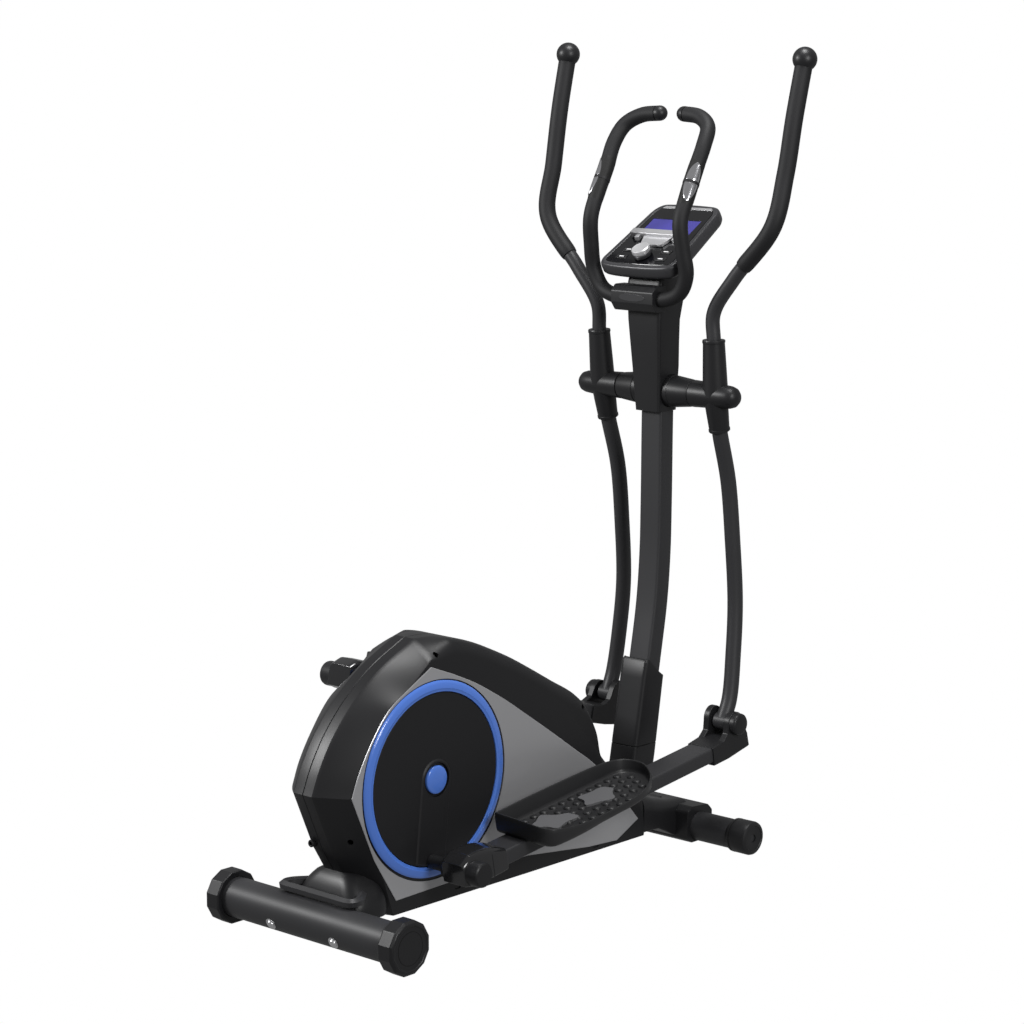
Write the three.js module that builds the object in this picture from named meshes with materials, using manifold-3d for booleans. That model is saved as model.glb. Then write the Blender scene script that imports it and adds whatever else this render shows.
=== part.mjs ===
// Elliptical trainer. Millimetres, +Z up, +X forward (the way the user faces), +Y to the user's left.
// The model stands on z = 0 and y = 0 is its plane of symmetry.
import * as THREE from 'three';
import { mergeVertices } from 'three/addons/utils/BufferGeometryUtils.js';
import Module from 'manifold-3d';

const wasm = await Module();
wasm.setup();

// ---------------------------------------------------------------- driving dimensions
const gap = 0.4;                     // air left between pieces that touch
const originX = 519.1;                // middle of the length, measured from the rear stabiliser's axis

const rearTubeRadius = 38;           // rear stabiliser, standard 76 mm tube
const rearTubeZ = 50;
const rearHalfWidth = 245;
const capSides = 12;
const capRadius = rearTubeZ / Math.cos(Math.PI / capSides);
const capWidth = 36;

const frontTubeRadius = 30;          // front stabiliser, standard 60 mm tube
const frontTubeX = 999;
const frontTubeZ = 34.7;
const frontHalfWidth = 237;
const wheelRadius = frontTubeZ;
const wheelWidth = 50;

const tubeWall = 2.5;                // wall of every steel tube of the frame
const beamHalfWidth = 25;            // main frame beam, 50 x 40 tube
const beamBottomZ = 52;
const beamTopZ = 92;

const crankX = 234;                  // crank axle
const crankZ = 283.3;
const crankRadius = 153.7;
const rightCrankAngle = THREE.MathUtils.degToRad(-96.1);
const discFaceY = 85;                // outer face of the crank disc
const discRadius = 164;
const discSides = 36;
const ringRadius = 186;
const hubCapRadius = 27;

const swingX = 969.9;                // axis that both swing arms turn on
const swingZ = 932.6;
const armRadius = 663;               // from that axis to the pedal bar's front pivot
const barLength = 780.2;             // from the crank pin to the front pivot
const armY = 147;                    // middle of the swing arm's hub
const barY = 165;                    // middle of the pedal bar

const housingHalfWidth = 76;
const spineHalfWidth = 23;
const shoulderHalfWidth = 48;
const bulgeHalfWidth = 65;
const housingWall = 4;
const inletRadius = 7;               // power socket in the housing's rear
const inletY = 17;
const inletTipX = 6;
const inletZ = 190;

const consoleTilt = THREE.MathUtils.degToRad(31.5);
const consoleX = 899;                // lower edge of the console, on its underside
const consoleZ = 1158;

const pulleyRadius = 130;
const flywheelRadius = 105;
const flywheelX = 520;
const flywheelZ = 220;
const flywheelAxleRadius = 8;
const crankAxleRadius = 15;
const beltY = 38;                    // middle of the belt, beside the crank's bearing post
const beltHalfWidth = 7.5;
const hubSpindleRadius = 18;

// ---------------------------------------------------------------- colours
const coatedSteel = { color: 0x2b2b2d, roughness: 0.5, metalness: 0.35 };
const darkPlastic = { color: 0x1c1c1d, roughness: 0.55, metalness: 0.0 };
const silverPlastic = { color: 0x8f9092, roughness: 0.35, metalness: 0.3 };
const bluePlastic = { color: 0x3f6fd0, roughness: 0.25, metalness: 0.0 };
const foam = { color: 0x262627, roughness: 0.85, metalness: 0.0 };
const chrome = { color: 0xd8dadc, roughness: 0.15, metalness: 1.0 };
const bareSteel = { color: 0x9a9b9d, roughness: 0.4, metalness: 0.9 };
const glossBlack = { color: 0x0b0b0c, roughness: 0.1, metalness: 0.0 };
const screenBlue = { color: 0x4a46b4, roughness: 0.2, metalness: 0.0 };
const rubberBlack = { color: 0x161616, roughness: 0.8, metalness: 0.0 };

// ---------------------------------------------------------------- geometry helpers
const point = (x, y, z) => new THREE.Vector3(x, y, z);
const radians = THREE.MathUtils.degToRad;

function signedVolume(geometry) {
  const position = geometry.attributes.position;
  const index = geometry.index.array;
  const corner = [0, 1, 2].map(() => new THREE.Vector3());
  let volume = 0;
  for (let i = 0; i < index.length; i += 3) {
    corner.forEach((vertex, k) => vertex.fromBufferAttribute(position, index[i + k]));
    volume += corner[0].dot(corner[1].clone().cross(corner[2])) / 6;
  }
  return volume;
}

// Shared vertices merged and every face pointing out.
function closed(geometry) {
  const bare = geometry.clone();
  bare.deleteAttribute('normal');
  bare.deleteAttribute('uv');
  const merged = mergeVertices(bare, 1e-3);
  if (signedVolume(merged) < 0) {
    const index = merged.index.array;
    for (let i = 0; i < index.length; i += 3) {
      [index[i], index[i + 1]] = [index[i + 1], index[i]];
    }
  }
  return merged;
}

function toSolid(geometry) {
  const shape = closed(geometry);
  const vertProperties = new Float32Array(shape.attributes.position.array);
  const triVerts = new Uint32Array(shape.index.array);
  return new wasm.Manifold(new wasm.Mesh({ numProp: 3, vertProperties, triVerts }));
}

function toGeometry(solid) {
  const mesh = solid.getMesh();
  const geometry = new THREE.BufferGeometry();
  geometry.setAttribute('position', new THREE.BufferAttribute(mesh.vertProperties, 3));
  geometry.setIndex(new THREE.BufferAttribute(mesh.triVerts, 1));
  return geometry;
}

function join(...geometries) {
  return toGeometry(geometries.map(toSolid).reduce((a, b) => a.add(b)));
}

function cut(geometry, ...tools) {
  return toGeometry(tools.map(toSolid).reduce((a, b) => a.subtract(b), toSolid(geometry)));
}

function common(a, b) {
  return toGeometry(toSolid(a).intersect(toSolid(b)));
}

function mirrored(geometry) {
  return closed(geometry.clone().applyMatrix4(new THREE.Matrix4().makeScale(1, -1, 1)));
}

function box(x0, x1, y0, y1, z0, z1) {
  const geometry = new THREE.BoxGeometry(x1 - x0, y1 - y0, z1 - z0);
  return geometry.translate((x0 + x1) / 2, (y0 + y1) / 2, (z0 + z1) / 2);
}

// A cylinder or cone along Y.
function cylinder(radius, y0, y1, x = 0, z = 0, sides = 18, endRadius = radius) {
  const geometry = new THREE.CylinderGeometry(endRadius, radius, y1 - y0, sides);
  return geometry.translate(x, (y0 + y1) / 2, z);
}

// A turned piece on the Y axis: profile is a list of [radius, y] that starts and ends at radius 0.
function turned(profile, sides = 18) {
  return new THREE.LatheGeometry(profile.map(([r, y]) => new THREE.Vector2(r, y)), sides);
}

function flatShape(outline) {
  return new THREE.Shape(outline.map(([a, b]) => new THREE.Vector2(a, b)));
}

// An outline in X and Z, pushed along Y from y0 to y1.
function sidePlate(outline, y0, y1) {
  const shape = outline instanceof THREE.Shape ? outline : flatShape(outline);
  const settings = { depth: y1 - y0, bevelEnabled: false, curveSegments: 8 };
  return new THREE.ExtrudeGeometry(shape, settings).rotateX(Math.PI / 2).translate(0, y1, 0);
}

// An outline in X and Y, pushed up along Z from z0 to z1.
function floorPlate(outline, z0, z1) {
  const shape = outline instanceof THREE.Shape ? outline : flatShape(outline);
  const settings = { depth: z1 - z0, bevelEnabled: false, curveSegments: 4 };
  return new THREE.ExtrudeGeometry(shape, settings).translate(0, 0, z0);
}

function smoothLine(points) {
  return new THREE.CatmullRomCurve3(points.map((p) => point(...p)), false, 'centripetal');
}

// The stretch of a curve between two fractions of its length.
class Stretch extends THREE.Curve {
  constructor(whole, start, end) {
    super();
    this.whole = whole;
    this.start = start;
    this.end = end;
  }

  getPoint(t, target = new THREE.Vector3()) {
    return target.copy(this.whole.getPointAt(this.start + (this.end - this.start) * t));
  }
}

function rod(curve, radius, steps, sides = 12) {
  const section = new THREE.Shape();
  for (let i = 0; i < sides; i += 1) {
    const angle = (2 * Math.PI * i) / sides;
    const place = [radius * Math.cos(angle), radius * Math.sin(angle)];
    if (i === 0) {
      section.moveTo(...place);
    } else {
      section.lineTo(...place);
    }
  }
  return new THREE.ExtrudeGeometry(section, { steps, extrudePath: curve, bevelEnabled: false });
}

// Triangles that close a ring, wound in the ring's own order.
function ringCap(ring) {
  const normal = new THREE.Vector3();
  ring.forEach((p, i) => normal.add(point(...p).cross(point(...ring[(i + 1) % ring.length]))));
  const size = normal.toArray().map(Math.abs);
  const dropped = size.indexOf(Math.max(...size));
  const flat = ring.map((p) => new THREE.Vector2(p[(dropped + 1) % 3], p[(dropped + 2) % 3]));
  const triangles = THREE.ShapeUtils.triangulateShape(flat, []);
  const follows = (t) => t.some((a, k) => t[(k + 1) % 3] === (a + 1) % ring.length);
  return triangles.some(follows) ? triangles : triangles.map(([a, b, c]) => [a, c, b]);
}

// A skin through rings that all have the same number of points, closed by a flat cap at each end.
function loft(rings) {
  const count = rings[0].length;
  const last = (rings.length - 1) * count;
  const index = [];
  for (let first = 0; first < last; first += count) {
    for (let i = 0; i < count; i += 1) {
      const a = first + i;
      const b = first + ((i + 1) % count);
      index.push(a, b, b + count, a, b + count, a + count);
    }
  }
  ringCap(rings[0]).forEach(([a, b, c]) => index.push(a, c, b));
  ringCap(rings[rings.length - 1]).forEach(([a, b, c]) => index.push(a + last, b + last, c + last));
  const geometry = new THREE.BufferGeometry();
  geometry.setAttribute('position', new THREE.Float32BufferAttribute(rings.flat(2), 3));
  geometry.setIndex(index);
  return geometry;
}

// Moves every corner of a closed outline inward by the same distance from both its edges.
function insetLoop(outline, distance) {
  const area = outline.reduce((sum, [x, y], i) => {
    const [nextX, nextY] = outline[(i + 1) % outline.length];
    return sum + x * nextY - nextX * y;
  }, 0);
  const side = Math.sign(area) * distance;
  return outline.map((corner, i) => {
    const here = new THREE.Vector2(...corner);
    const before = new THREE.Vector2(...outline[(i + outline.length - 1) % outline.length]);
    const after = new THREE.Vector2(...outline[(i + 1) % outline.length]);
    const arrive = here.clone().sub(before).normalize();
    const leave = after.sub(here).normalize();
    const bisector = new THREE.Vector2(-arrive.y - leave.y, arrive.x + leave.x).normalize();
    const stretch = Math.max(0.4, bisector.x * -arrive.y + bisector.y * arrive.x);
    return [here.x + (bisector.x * side) / stretch, here.y + (bisector.y * side) / stretch];
  });
}

// A ring round a rectangle with chamfered corners, level at height z.
function levelRing(x0, x1, halfWidth, z, chamfer) {
  const c = chamfer;
  return [
    [x0 + c, -halfWidth, z], [x1 - c, -halfWidth, z], [x1, -halfWidth + c, z], [x1, halfWidth - c, z],
    [x1 - c, halfWidth, z], [x0 + c, halfWidth, z], [x0, halfWidth - c, z], [x0, -halfWidth + c, z],
  ];
}

const model = new THREE.Group();
model.position.x = -originX;

function add(group, name, geometry, look) {
  const mesh = new THREE.Mesh(closed(geometry), new THREE.MeshStandardMaterial(look));
  mesh.name = name;
  group.add(mesh);
  return mesh;
}

// Makes a left piece as drawn and a right piece as its mirror image.
function addPair(group, name, geometry, look) {
  add(group, `${name}_left`, geometry, look);
  add(group, `${name}_right`, mirrored(geometry), look);
}

// ---------------------------------------------------------------- linkage at rest
const swingAxis = new THREE.Vector2(swingX, swingZ);
const crankCentre = new THREE.Vector2(crankX, crankZ);

function crankPin(angle) {
  const arm = new THREE.Vector2(Math.cos(angle), Math.sin(angle)).multiplyScalar(crankRadius);
  return arm.add(crankCentre);
}

// The front pivot lies where the arm's circle and the bar's circle cross, ahead of the crank.
function frontPivot(pin) {
  const across = swingAxis.clone().sub(pin);
  const reach = across.length();
  const along = (barLength ** 2 - armRadius ** 2 + reach ** 2) / (2 * reach);
  const aside = Math.sqrt(barLength ** 2 - along ** 2);
  const unit = across.normalize();
  const square = new THREE.Vector2(unit.y, -unit.x);
  return pin.clone().addScaledVector(unit, along).addScaledVector(square, aside);
}

const sides = [
  { name: 'left', hand: 1, pin: crankPin(rightCrankAngle + Math.PI) },
  { name: 'right', hand: -1, pin: crankPin(rightCrankAngle) },
];
sides.forEach((side) => {
  side.pivot = frontPivot(side.pin);
  side.armTilt = Math.atan2(side.pivot.x - swingX, swingZ - side.pivot.y);
  side.barTilt = Math.atan2(side.pivot.y - side.pin.y, side.pivot.x - side.pin.x);
});

// ---------------------------------------------------------------- floor frame
function mainBeam() {
  const tube = box(40, 962, -beamHalfWidth, beamHalfWidth, beamBottomZ, beamTopZ);
  const saddle = box(20, 60, -beamHalfWidth, beamHalfWidth, beamBottomZ, beamTopZ);
  const inner = beamHalfWidth - tubeWall;
  const bore = box(10, 972, -inner, inner, beamBottomZ + tubeWall, beamTopZ - tubeWall);
  const crankPost = sidePlate([
    [crankX - 30, beamTopZ - 1], [crankX + 30, beamTopZ - 1],
    [crankX + 24, crankZ + 24], [crankX - 24, crankZ + 24],
  ], -22, 22);
  const fork = [
    [flywheelX - 24, beamTopZ - 1], [flywheelX + 24, beamTopZ - 1],
    [flywheelX + 14, flywheelZ + 14], [flywheelX - 14, flywheelZ + 14],
  ];
  const frame = join(tube, saddle, crankPost, sidePlate(fork, -25, -20), sidePlate(fork, 50, 55), forkFoot());
  const crankBore = cylinder(crankAxleRadius + gap, -60, 60, crankX, crankZ, 20);
  const flywheelBore = cylinder(flywheelAxleRadius + gap, -60, 60, flywheelX, flywheelZ, 16);
  const rearTubeRoom = cylinder(rearTubeRadius + gap, -60, 60, 0, rearTubeZ, 24);
  return cut(frame, bore, rearTubeRoom, crankBore, flywheelBore);
}

// Carries the flywheel's outer bearing plate, which stands beside the beam.
function forkFoot() {
  return box(flywheelX - 24, flywheelX + 24, beamHalfWidth - 1, 55, beamTopZ - 8, beamTopZ);
}

function rearTube() {
  const length = rearHalfWidth - 8;
  const bore = cylinder(rearTubeRadius - tubeWall, -length - 1, length + 1, 0, rearTubeZ, 24);
  return cut(cylinder(rearTubeRadius, -length, length, 0, rearTubeZ, 24), bore);
}

// A twelve-sided cup that the end of the rear tube goes into.
function rearCap() {
  const inner = rearHalfWidth - capWidth;
  const facet = new THREE.CylinderGeometry(capRadius, capRadius, capWidth, capSides);
  facet.rotateY(Math.PI / capSides).translate(0, inner + capWidth / 2, rearTubeZ);
  const socket = cylinder(rearTubeRadius + gap, inner - 1, rearHalfWidth - 8 + gap, 0, rearTubeZ, 24);
  const lip = cylinder(capRadius - 5, inner - 1, inner + 5, 0, rearTubeZ, 24);
  return cut(facet, socket, lip);
}

const handleRadius = 9.5;
const neckFrontX = 116;

// A six-sided bar across the machine, both ends bent forward into the neck cover.
function handleRod(radius) {
  const leftHalf = [[2, 40], [2, 80], [5, 88], [13, 91], [27, 88], [46, 74], [62, 60]];
  const rightHalf = leftHalf.map(([x, y]) => [x, -y]).reverse();
  const route = [...rightHalf, ...leftHalf].map(([x, y]) => [x, y, 99]);
  return rod(smoothLine(route), radius, 22, 6);
}

// The rounded hump between the rear stabiliser and the housing, grown by g all round.
function neckSkin(g) {
  return loft([
    levelRing(22 - g, neckFrontX + g, 84 + g, 53 - g, 30),
    levelRing(19 - g, neckFrontX + g, 86 + g, 74, 32),
    levelRing(25 - g, neckFrontX + g, 76 + g, 98, 32),
    levelRing(34 - g, neckFrontX + g, 61 + g, 119, 28),
    levelRing(48 - g, neckFrontX + g, 40 + g, 135 + g, 20),
  ]);
}

function neckCover() {
  const beamRoom = box(0, 170, -beamHalfWidth - gap, beamHalfWidth + gap, beamBottomZ - 5, beamTopZ + gap);
  const tubeRoom = cylinder(rearTubeRadius + gap, -90, 90, 0, rearTubeZ, 24);
  return cut(neckSkin(0), beamRoom, tubeRoom, handleRod(handleRadius + gap));
}

// Bored from both ends up to a middle wall, with the wheels' axle running right through.
function frontTube() {
  const length = frontHalfWidth - wheelWidth - gap;
  const bore = (y0, y1) => cylinder(frontTubeRadius - tubeWall, y0, y1, frontTubeX, frontTubeZ, 28);
  const tube = cylinder(frontTubeRadius, -length, length, frontTubeX, frontTubeZ, 28);
  const core = cut(tube, bore(-length - 1, -6), bore(6, length + 1));
  const axle = cylinder(8, -frontHalfWidth + 4, frontHalfWidth - 4, frontTubeX, frontTubeZ, 16);
  return join(core, axle);
}

function transportWheel() {
  const start = frontHalfWidth - wheelWidth;
  const profile = [
    [0, start], [wheelRadius - 3, start], [wheelRadius, start + 3],
    [wheelRadius, frontHalfWidth - 4], [wheelRadius - 4, frontHalfWidth], [0, frontHalfWidth],
  ];
  const wheel = turned(profile, 20).translate(frontTubeX, 0, frontTubeZ);
  return cut(wheel, cylinder(8 + gap, start - 1, frontHalfWidth + 1, frontTubeX, frontTubeZ, 16));
}

// The cover from the housing's foot to the front stabiliser, with its block round the tube.
function frontSaddle() {
  const crossing = (x, halfWidth, z0, z1, chamfer) => [
    [x, -halfWidth, z0], [x, halfWidth, z0], [x, halfWidth, z1 - chamfer],
    [x, halfWidth - chamfer, z1], [x, -halfWidth + chamfer, z1], [x, -halfWidth, z1 - chamfer],
  ];
  const elbow = loft([
    crossing(850, 72, 47, 124, 28), crossing(900, 69, 44, 106, 26), crossing(950, 65, 20, 92, 22),
    crossing(1002, 62, 8, 84, 20),
  ]);
  const block = sidePlate([
    [960, 12], [974, 4], [1024, 4], [1040, 16], [1040, 62], [1026, 76], [976, 80], [960, 70],
  ], -96, 96);
  const beamRoom = box(840, 970, -beamHalfWidth - gap, beamHalfWidth + gap, beamBottomZ - 9, beamTopZ + gap);
  const tubeRoom = cylinder(frontTubeRadius + gap, -110, 110, frontTubeX, frontTubeZ, 28);
  return cut(join(elbow, block), beamRoom, tubeRoom, mastRoom());
}

// ---------------------------------------------------------------- mast
const mastHalfWidth = 27;
const mastDepth = 42;
const mastLine = [
  [883, 92.4], [898, 190], [936, 390], [955, 500], [964, 600],
  [966.5, 700], [968, 880], [969.9, 960], [972, 1140],
];

// A box section that follows the mast's middle line, grown by extra all round.
function mastSkin(line, halfWidth, depth) {
  return loft(line.map(([x, z]) => [
    [x - depth / 2, -halfWidth, z], [x + depth / 2, -halfWidth, z],
    [x + depth / 2, halfWidth, z], [x - depth / 2, halfWidth, z],
  ]));
}

function mastRoom() {
  return mastSkin(mastLine, mastHalfWidth + gap, mastDepth + 2 * gap);
}

function mast() {
  const spindle = cylinder(hubSpindleRadius, -192, 192, swingX, swingZ, 20);
  const [footX, footZ] = mastLine[0];
  const [headX, headZ] = mastLine[mastLine.length - 1];
  const boreLine = [[footX - 1, footZ - 5], ...mastLine.slice(1, -1), [headX, headZ + 5]];
  const bore = mastSkin(boreLine, mastHalfWidth - tubeWall, mastDepth - 2 * tubeWall);
  return join(cut(mastSkin(mastLine, mastHalfWidth, mastDepth), bore), spindle);
}

function mastBoot() {
  const ring = (z, rear, front, drop) => [
    [rear + 10, -34, z], [front - 8, -34, z - drop], [front, -24, z - drop], [front, 24, z - drop],
    [front - 8, 34, z - drop], [rear + 10, 34, z], [rear, 24, z], [rear, -24, z],
  ];
  const skin = loft([
    ring(126, 849, 918, 0), ring(190, 862, 931, 0), ring(352, 893, 958, 2), ring(391, 901, 957, 38),
  ]);
  return cut(skin, mastRoom());
}

function clampBlock(grown) {
  const g = grown;
  return sidePlate([
    [884 - g, 1112], [896, 1096 - g], [926 + g, 1096 - g],
    [926 + g, 1148 + g], [896, 1148 + g], [884 - g, 1136],
  ], -54 - g, 54 + g);
}

function mastCover() {
  const skin = loft([
    levelRing(934, 992, 30.5, 892, 5), levelRing(928, 994, 36, 980, 6), levelRing(920, 990, 42, 1075, 8),
    levelRing(921, 1006, 45, 1150, 9), levelRing(940, 1020, 46, 1212, 9),
  ]);
  const sleeveRoom = cylinder(33 + gap, -60, 60, swingX, swingZ, 28);
  return cut(skin, mastRoom(), sleeveRoom, clampBlock(gap), consoleRoom());
}

// A fixed cone between the mast and the swing arm's hub.
function crossbarSleeve() {
  const start = mastHalfWidth + gap;
  const cone = cylinder(32.5, start, 93, swingX, swingZ, 28, 27.5);
  return cut(cone, cylinder(hubSpindleRadius + gap, 0, 100, swingX, swingZ, 20));
}

// ---------------------------------------------------------------- fixed handlebar
const halfBar = [
  [908, 54, 1121], [911, 99, 1136], [908, 119, 1174], [898, 118, 1224], [893, 115, 1278], [914, 115, 1328],
  [940, 114, 1378], [964, 115, 1425], [987, 106, 1459], [1001, 74, 1478], [1006, 28, 1483],
];
const barFoamRadius = 15.5;
const barCoreRadius = 12.5;
const barSteps = 40;
const barSides = 6;
const wholeBar = smoothLine([
  ...halfBar.map(([x, y, z]) => [x, -y, z]).reverse(), [908, 0, 1119], ...halfBar,
]);
const clampShare = 58.5 / wholeBar.getLength();

function handlebar() {
  const core = rod(wholeBar, barCoreRadius, barSteps, barSides);
  const tip = ([x, y, z]) => new THREE.SphereGeometry(barFoamRadius, 10, 6).translate(x, y, z);
  const end = halfBar[halfBar.length - 1];
  return join(core, tip([end[0], end[1] - 4, end[2]]), tip([end[0], 4 - end[1], end[2]]));
}

function barFoam() {
  const stretch = new Stretch(wholeBar, 0.5 + clampShare, 1 - 10 / wholeBar.getLength());
  const core = rod(wholeBar, barCoreRadius + gap, barSteps, barSides);
  const end = halfBar[halfBar.length - 1];
  const tip = new THREE.SphereGeometry(barFoamRadius + gap, 10, 6).translate(end[0], end[1] - 4, end[2]);
  return cut(rod(stretch, barFoamRadius, 20, 8), core, tip);
}

// The metal half shell on the side of the grip that faces back and outward.
function pulseSensor() {
  const stretch = new Stretch(wholeBar, 0.7675, 0.8435);
  const outer = rod(stretch, barFoamRadius + 2, 6, 8);
  const inner = rod(new Stretch(wholeBar, 0.5 + clampShare, 0.99), barFoamRadius + gap, 20, 8);
  const middle = wholeBar.getPointAt(0.8055);
  const rearHalf = box(-40, 0, -40, 40, -90, 90).rotateY(radians(27)).rotateZ(radians(-38));
  rearHalf.translate(...middle.toArray());
  return common(cut(outer, inner), rearHalf);
}

function clampCover() {
  return cut(clampBlock(0), rod(wholeBar, barCoreRadius + gap, barSteps, barSides));
}

// ---------------------------------------------------------------- console, drawn flat and then tilted
const consoleLength = 224;
const consoleThickness = 30;

function onConsole(geometry) {
  return geometry.rotateY(-consoleTilt).translate(consoleX, 0, consoleZ);
}

function consoleOutline(inset) {
  const low = 97 - inset;
  const high = 80 - inset;
  const end = consoleLength - inset;
  const shape = new THREE.Shape();
  shape.moveTo(inset, 0);
  shape.quadraticCurveTo(inset, low - 16, inset + 10, low - 8);
  shape.quadraticCurveTo(inset + 18, low, inset + 32, low);
  shape.lineTo(end - 40, high + 6);
  shape.quadraticCurveTo(end - 4, high + 2, end - 4, high - 26);
  shape.quadraticCurveTo(end, 0, end - 4, 26 - high);
  shape.quadraticCurveTo(end - 4, -high - 2, end - 40, -high - 6);
  shape.lineTo(inset + 32, -low);
  shape.quadraticCurveTo(inset + 18, -low, inset + 10, 8 - low);
  shape.quadraticCurveTo(inset, 16 - low, inset, 0);
  return shape;
}

const facePlane = consoleThickness;
const recessDepth = 5;               // the face plate's seat in the console body
const seatPlane = facePlane - recessDepth;
const knobPlace = [42, 0];
const buttonPlaces = {
  upper_left: [58, 48], lower_left: [34, 50], upper_right: [58, -48], lower_right: [34, -50],
};

function consoleRoom() {
  return onConsole(floorPlate(consoleOutline(-gap), -gap, consoleThickness + 60));
}

function consoleBody() {
  const body = floorPlate(consoleOutline(0), 0, consoleThickness);
  const recess = floorPlate(consoleOutline(13), seatPlane, facePlane + 5);
  return onConsole(cut(body, recess));
}

function consoleFace() {
  const plate = floorPlate(consoleOutline(13 + gap), seatPlane + gap, facePlane - gap);
  const buttonHole = ([x, y]) => box(x - 6.5, x + 6.5, y - 13.5, y + 13.5, 20, 40);
  const holes = Object.values(buttonPlaces).map(buttonHole);
  const screenHole = box(117, 167, -62, 62, 20, 40);
  const knobHole = cylinder(5.5, -20, 20, 0, 0, 16).rotateX(Math.PI / 2);
  knobHole.translate(knobPlace[0], 0, facePlane);
  return onConsole(cut(plate, ...holes, screenHole, knobHole));
}

function consoleDisplay() {
  return onConsole(box(117 + gap, 167 - gap, -62 + gap, 62 - gap, seatPlane + gap, facePlane - 0.8));
}

function tabletLedge() {
  const shelf = box(98, 104, -70, 70, facePlane + gap, facePlane + 13);
  const top = box(98, 114, -70, 70, facePlane + 10, facePlane + 13);
  const bracket = floorPlate([[72, -26], [100, -36], [100, 36], [72, 26]], facePlane + gap, facePlane + 6);
  const hook = (y) => box(88, 100, y - 5, y + 5, facePlane + gap, facePlane + 9);
  return onConsole(join(shelf, top, bracket, hook(48), hook(-48)));
}

function consoleKnob() {
  const profile = [
    [0, facePlane - 2], [5, facePlane - 2], [5, facePlane + 1], [19, facePlane + 1], [19, facePlane + 8],
    [16.5, facePlane + 8], [16.5, facePlane + 10], [19, facePlane + 10], [19, facePlane + 18],
    [17.5, facePlane + 20], [0, facePlane + 20],
  ];
  return onConsole(turned(profile, 18).rotateX(Math.PI / 2).translate(knobPlace[0], knobPlace[1], 0));
}

function consoleButton([x, y]) {
  return onConsole(box(x - 6, x + 6, y - 13, y + 13, seatPlane + 2, facePlane + 1));
}

// ---------------------------------------------------------------- drive housing
// Each corner: place on the spine, place on the side, and how it gets from one to the other.
const housingCorners = [
  { spine: [-28, 292], side: [19, 288], facet: true },
  { spine: [-6, 341], side: [36, 329], facet: true },
  { spine: [28, 394], side: [69, 381], facet: true },
  { spine: [82, 451], side: [116, 436], facet: true },
  { spine: [148, 499], side: [173, 468], facet: true },
  { spine: [237, 541], side: [228, 508], facet: true },
  { spine: [300, 537], side: [307, 506] },
  { spine: [360, 520], side: [365, 488] },
  { spine: [415, 497], side: [420, 463] },
  { spine: [470, 471], side: [474, 436] },
  { spine: [527, 440], side: [531, 406] },
  { spine: [585, 407], side: [588, 372] },
  { spine: [648, 371], side: [651, 335] },
  { spine: [678, 342], side: [675, 314] },
  { spine: [694, 298], side: [695, 287] },
  { spine: [712, 250], side: [715, 219] },
  { spine: [775, 190], side: [775, 150] },
  { spine: [846, 150], side: [840, 86] },
  { spine: [848, 60], side: [846, 54] },
  { spine: [846, 46], side: [844, 44] },
  { spine: [470, 46], side: [490, 44] },
  { spine: [108, 46], side: [126, 45], facet: true },
  { spine: [52, 128], side: [102, 116], facet: true },
  { spine: [20, 180], side: [72, 170], facet: true },
];

// Share of the way from spine to side at a distance y from the middle.
function sideShare(y, facet) {
  if (facet) {
    return THREE.MathUtils.clamp((y - spineHalfWidth) / (housingHalfWidth - spineHalfWidth), 0, 1);
  }
  const turn = THREE.MathUtils.clamp((y - shoulderHalfWidth) / (housingHalfWidth - shoulderHalfWidth), 0, 1);
  return 1 - Math.sqrt(1 - turn * turn);
}

// The housing's half from the middle plane out, with every wall moved inward by inset.
function housingHalf(inset) {
  const places = [gap / 2, spineHalfWidth, shoulderHalfWidth, bulgeHalfWidth, housingHalfWidth];
  return loft(places.map((y) => {
    const outline = housingCorners.map(({ spine, side, facet }) => {
      const share = sideShare(y, facet);
      return [0, 1].map((axis) => THREE.MathUtils.lerp(spine[axis], side[axis], share));
    });
    const across = y > 1 ? y * (1 - inset / housingHalfWidth) : y - inset;
    return insetLoop(outline, inset).map(([x, z]) => [x, across, z]);
  }));
}

function housingShell() {
  const shell = cut(housingHalf(0), housingHalf(housingWall));
  const beamRoom = box(0, 900, -beamHalfWidth - 1, beamHalfWidth + 1, beamBottomZ - 4, beamTopZ + 1);
  const bootRoom = loft([
    levelRing(838, 925, 35, 100, 8), levelRing(861, 932, 35, 192, 8), levelRing(895, 960, 35, 392, 8),
  ]);
  const axleRoom = cylinder(24, -100, 100, crankX, crankZ, 24);
  const inletRoom = cylinder(inletRadius + 1, 0, 30, 0, 0, 14).rotateZ(radians(90));
  inletRoom.translate(inletTipX + 30, inletY, inletZ);
  return cut(shell, beamRoom, neckSkin(1), bootRoom, axleRoom, inletRoom);
}

// A round low-voltage socket facing the rear.
function powerInlet() {
  const hole = inletRadius / 2;
  const length = 26;
  const barrel = turned([
    [0, 0], [inletRadius, 0], [inletRadius, length], [hole, length], [hole, length - 14], [0, length - 14],
  ], 14);
  return barrel.rotateZ(radians(90)).translate(inletTipX + length, inletY, inletZ);
}

function sidePanel() {
  const outline = [
    [228, 497], [171, 467], [116, 435], [69, 380], [36, 326], [20, 288], [76, 161], [132, 72], [319, 76],
    [492, 79], [673, 57], [759, 52], [825, 83], [761, 153], [692, 221], [624, 269], [559, 314], [499, 354],
    [437, 395], [392, 422], [345, 448], [287, 474],
  ];
  const y0 = housingHalfWidth + gap;
  const shift = 2.5;                 // the gap round the ring is widest at its lower front
  const ringRoom = cylinder(ringRadius + 4.2, y0 - 5, y0 + 5, crankX + shift, crankZ - shift, 44);
  return cut(sidePlate(outline, y0, y0 + 1.4), ringRoom);
}

// ---------------------------------------------------------------- crank and drive
const grooveRadius = pulleyRadius - 4;
const smallGrooveRadius = 22;

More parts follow.
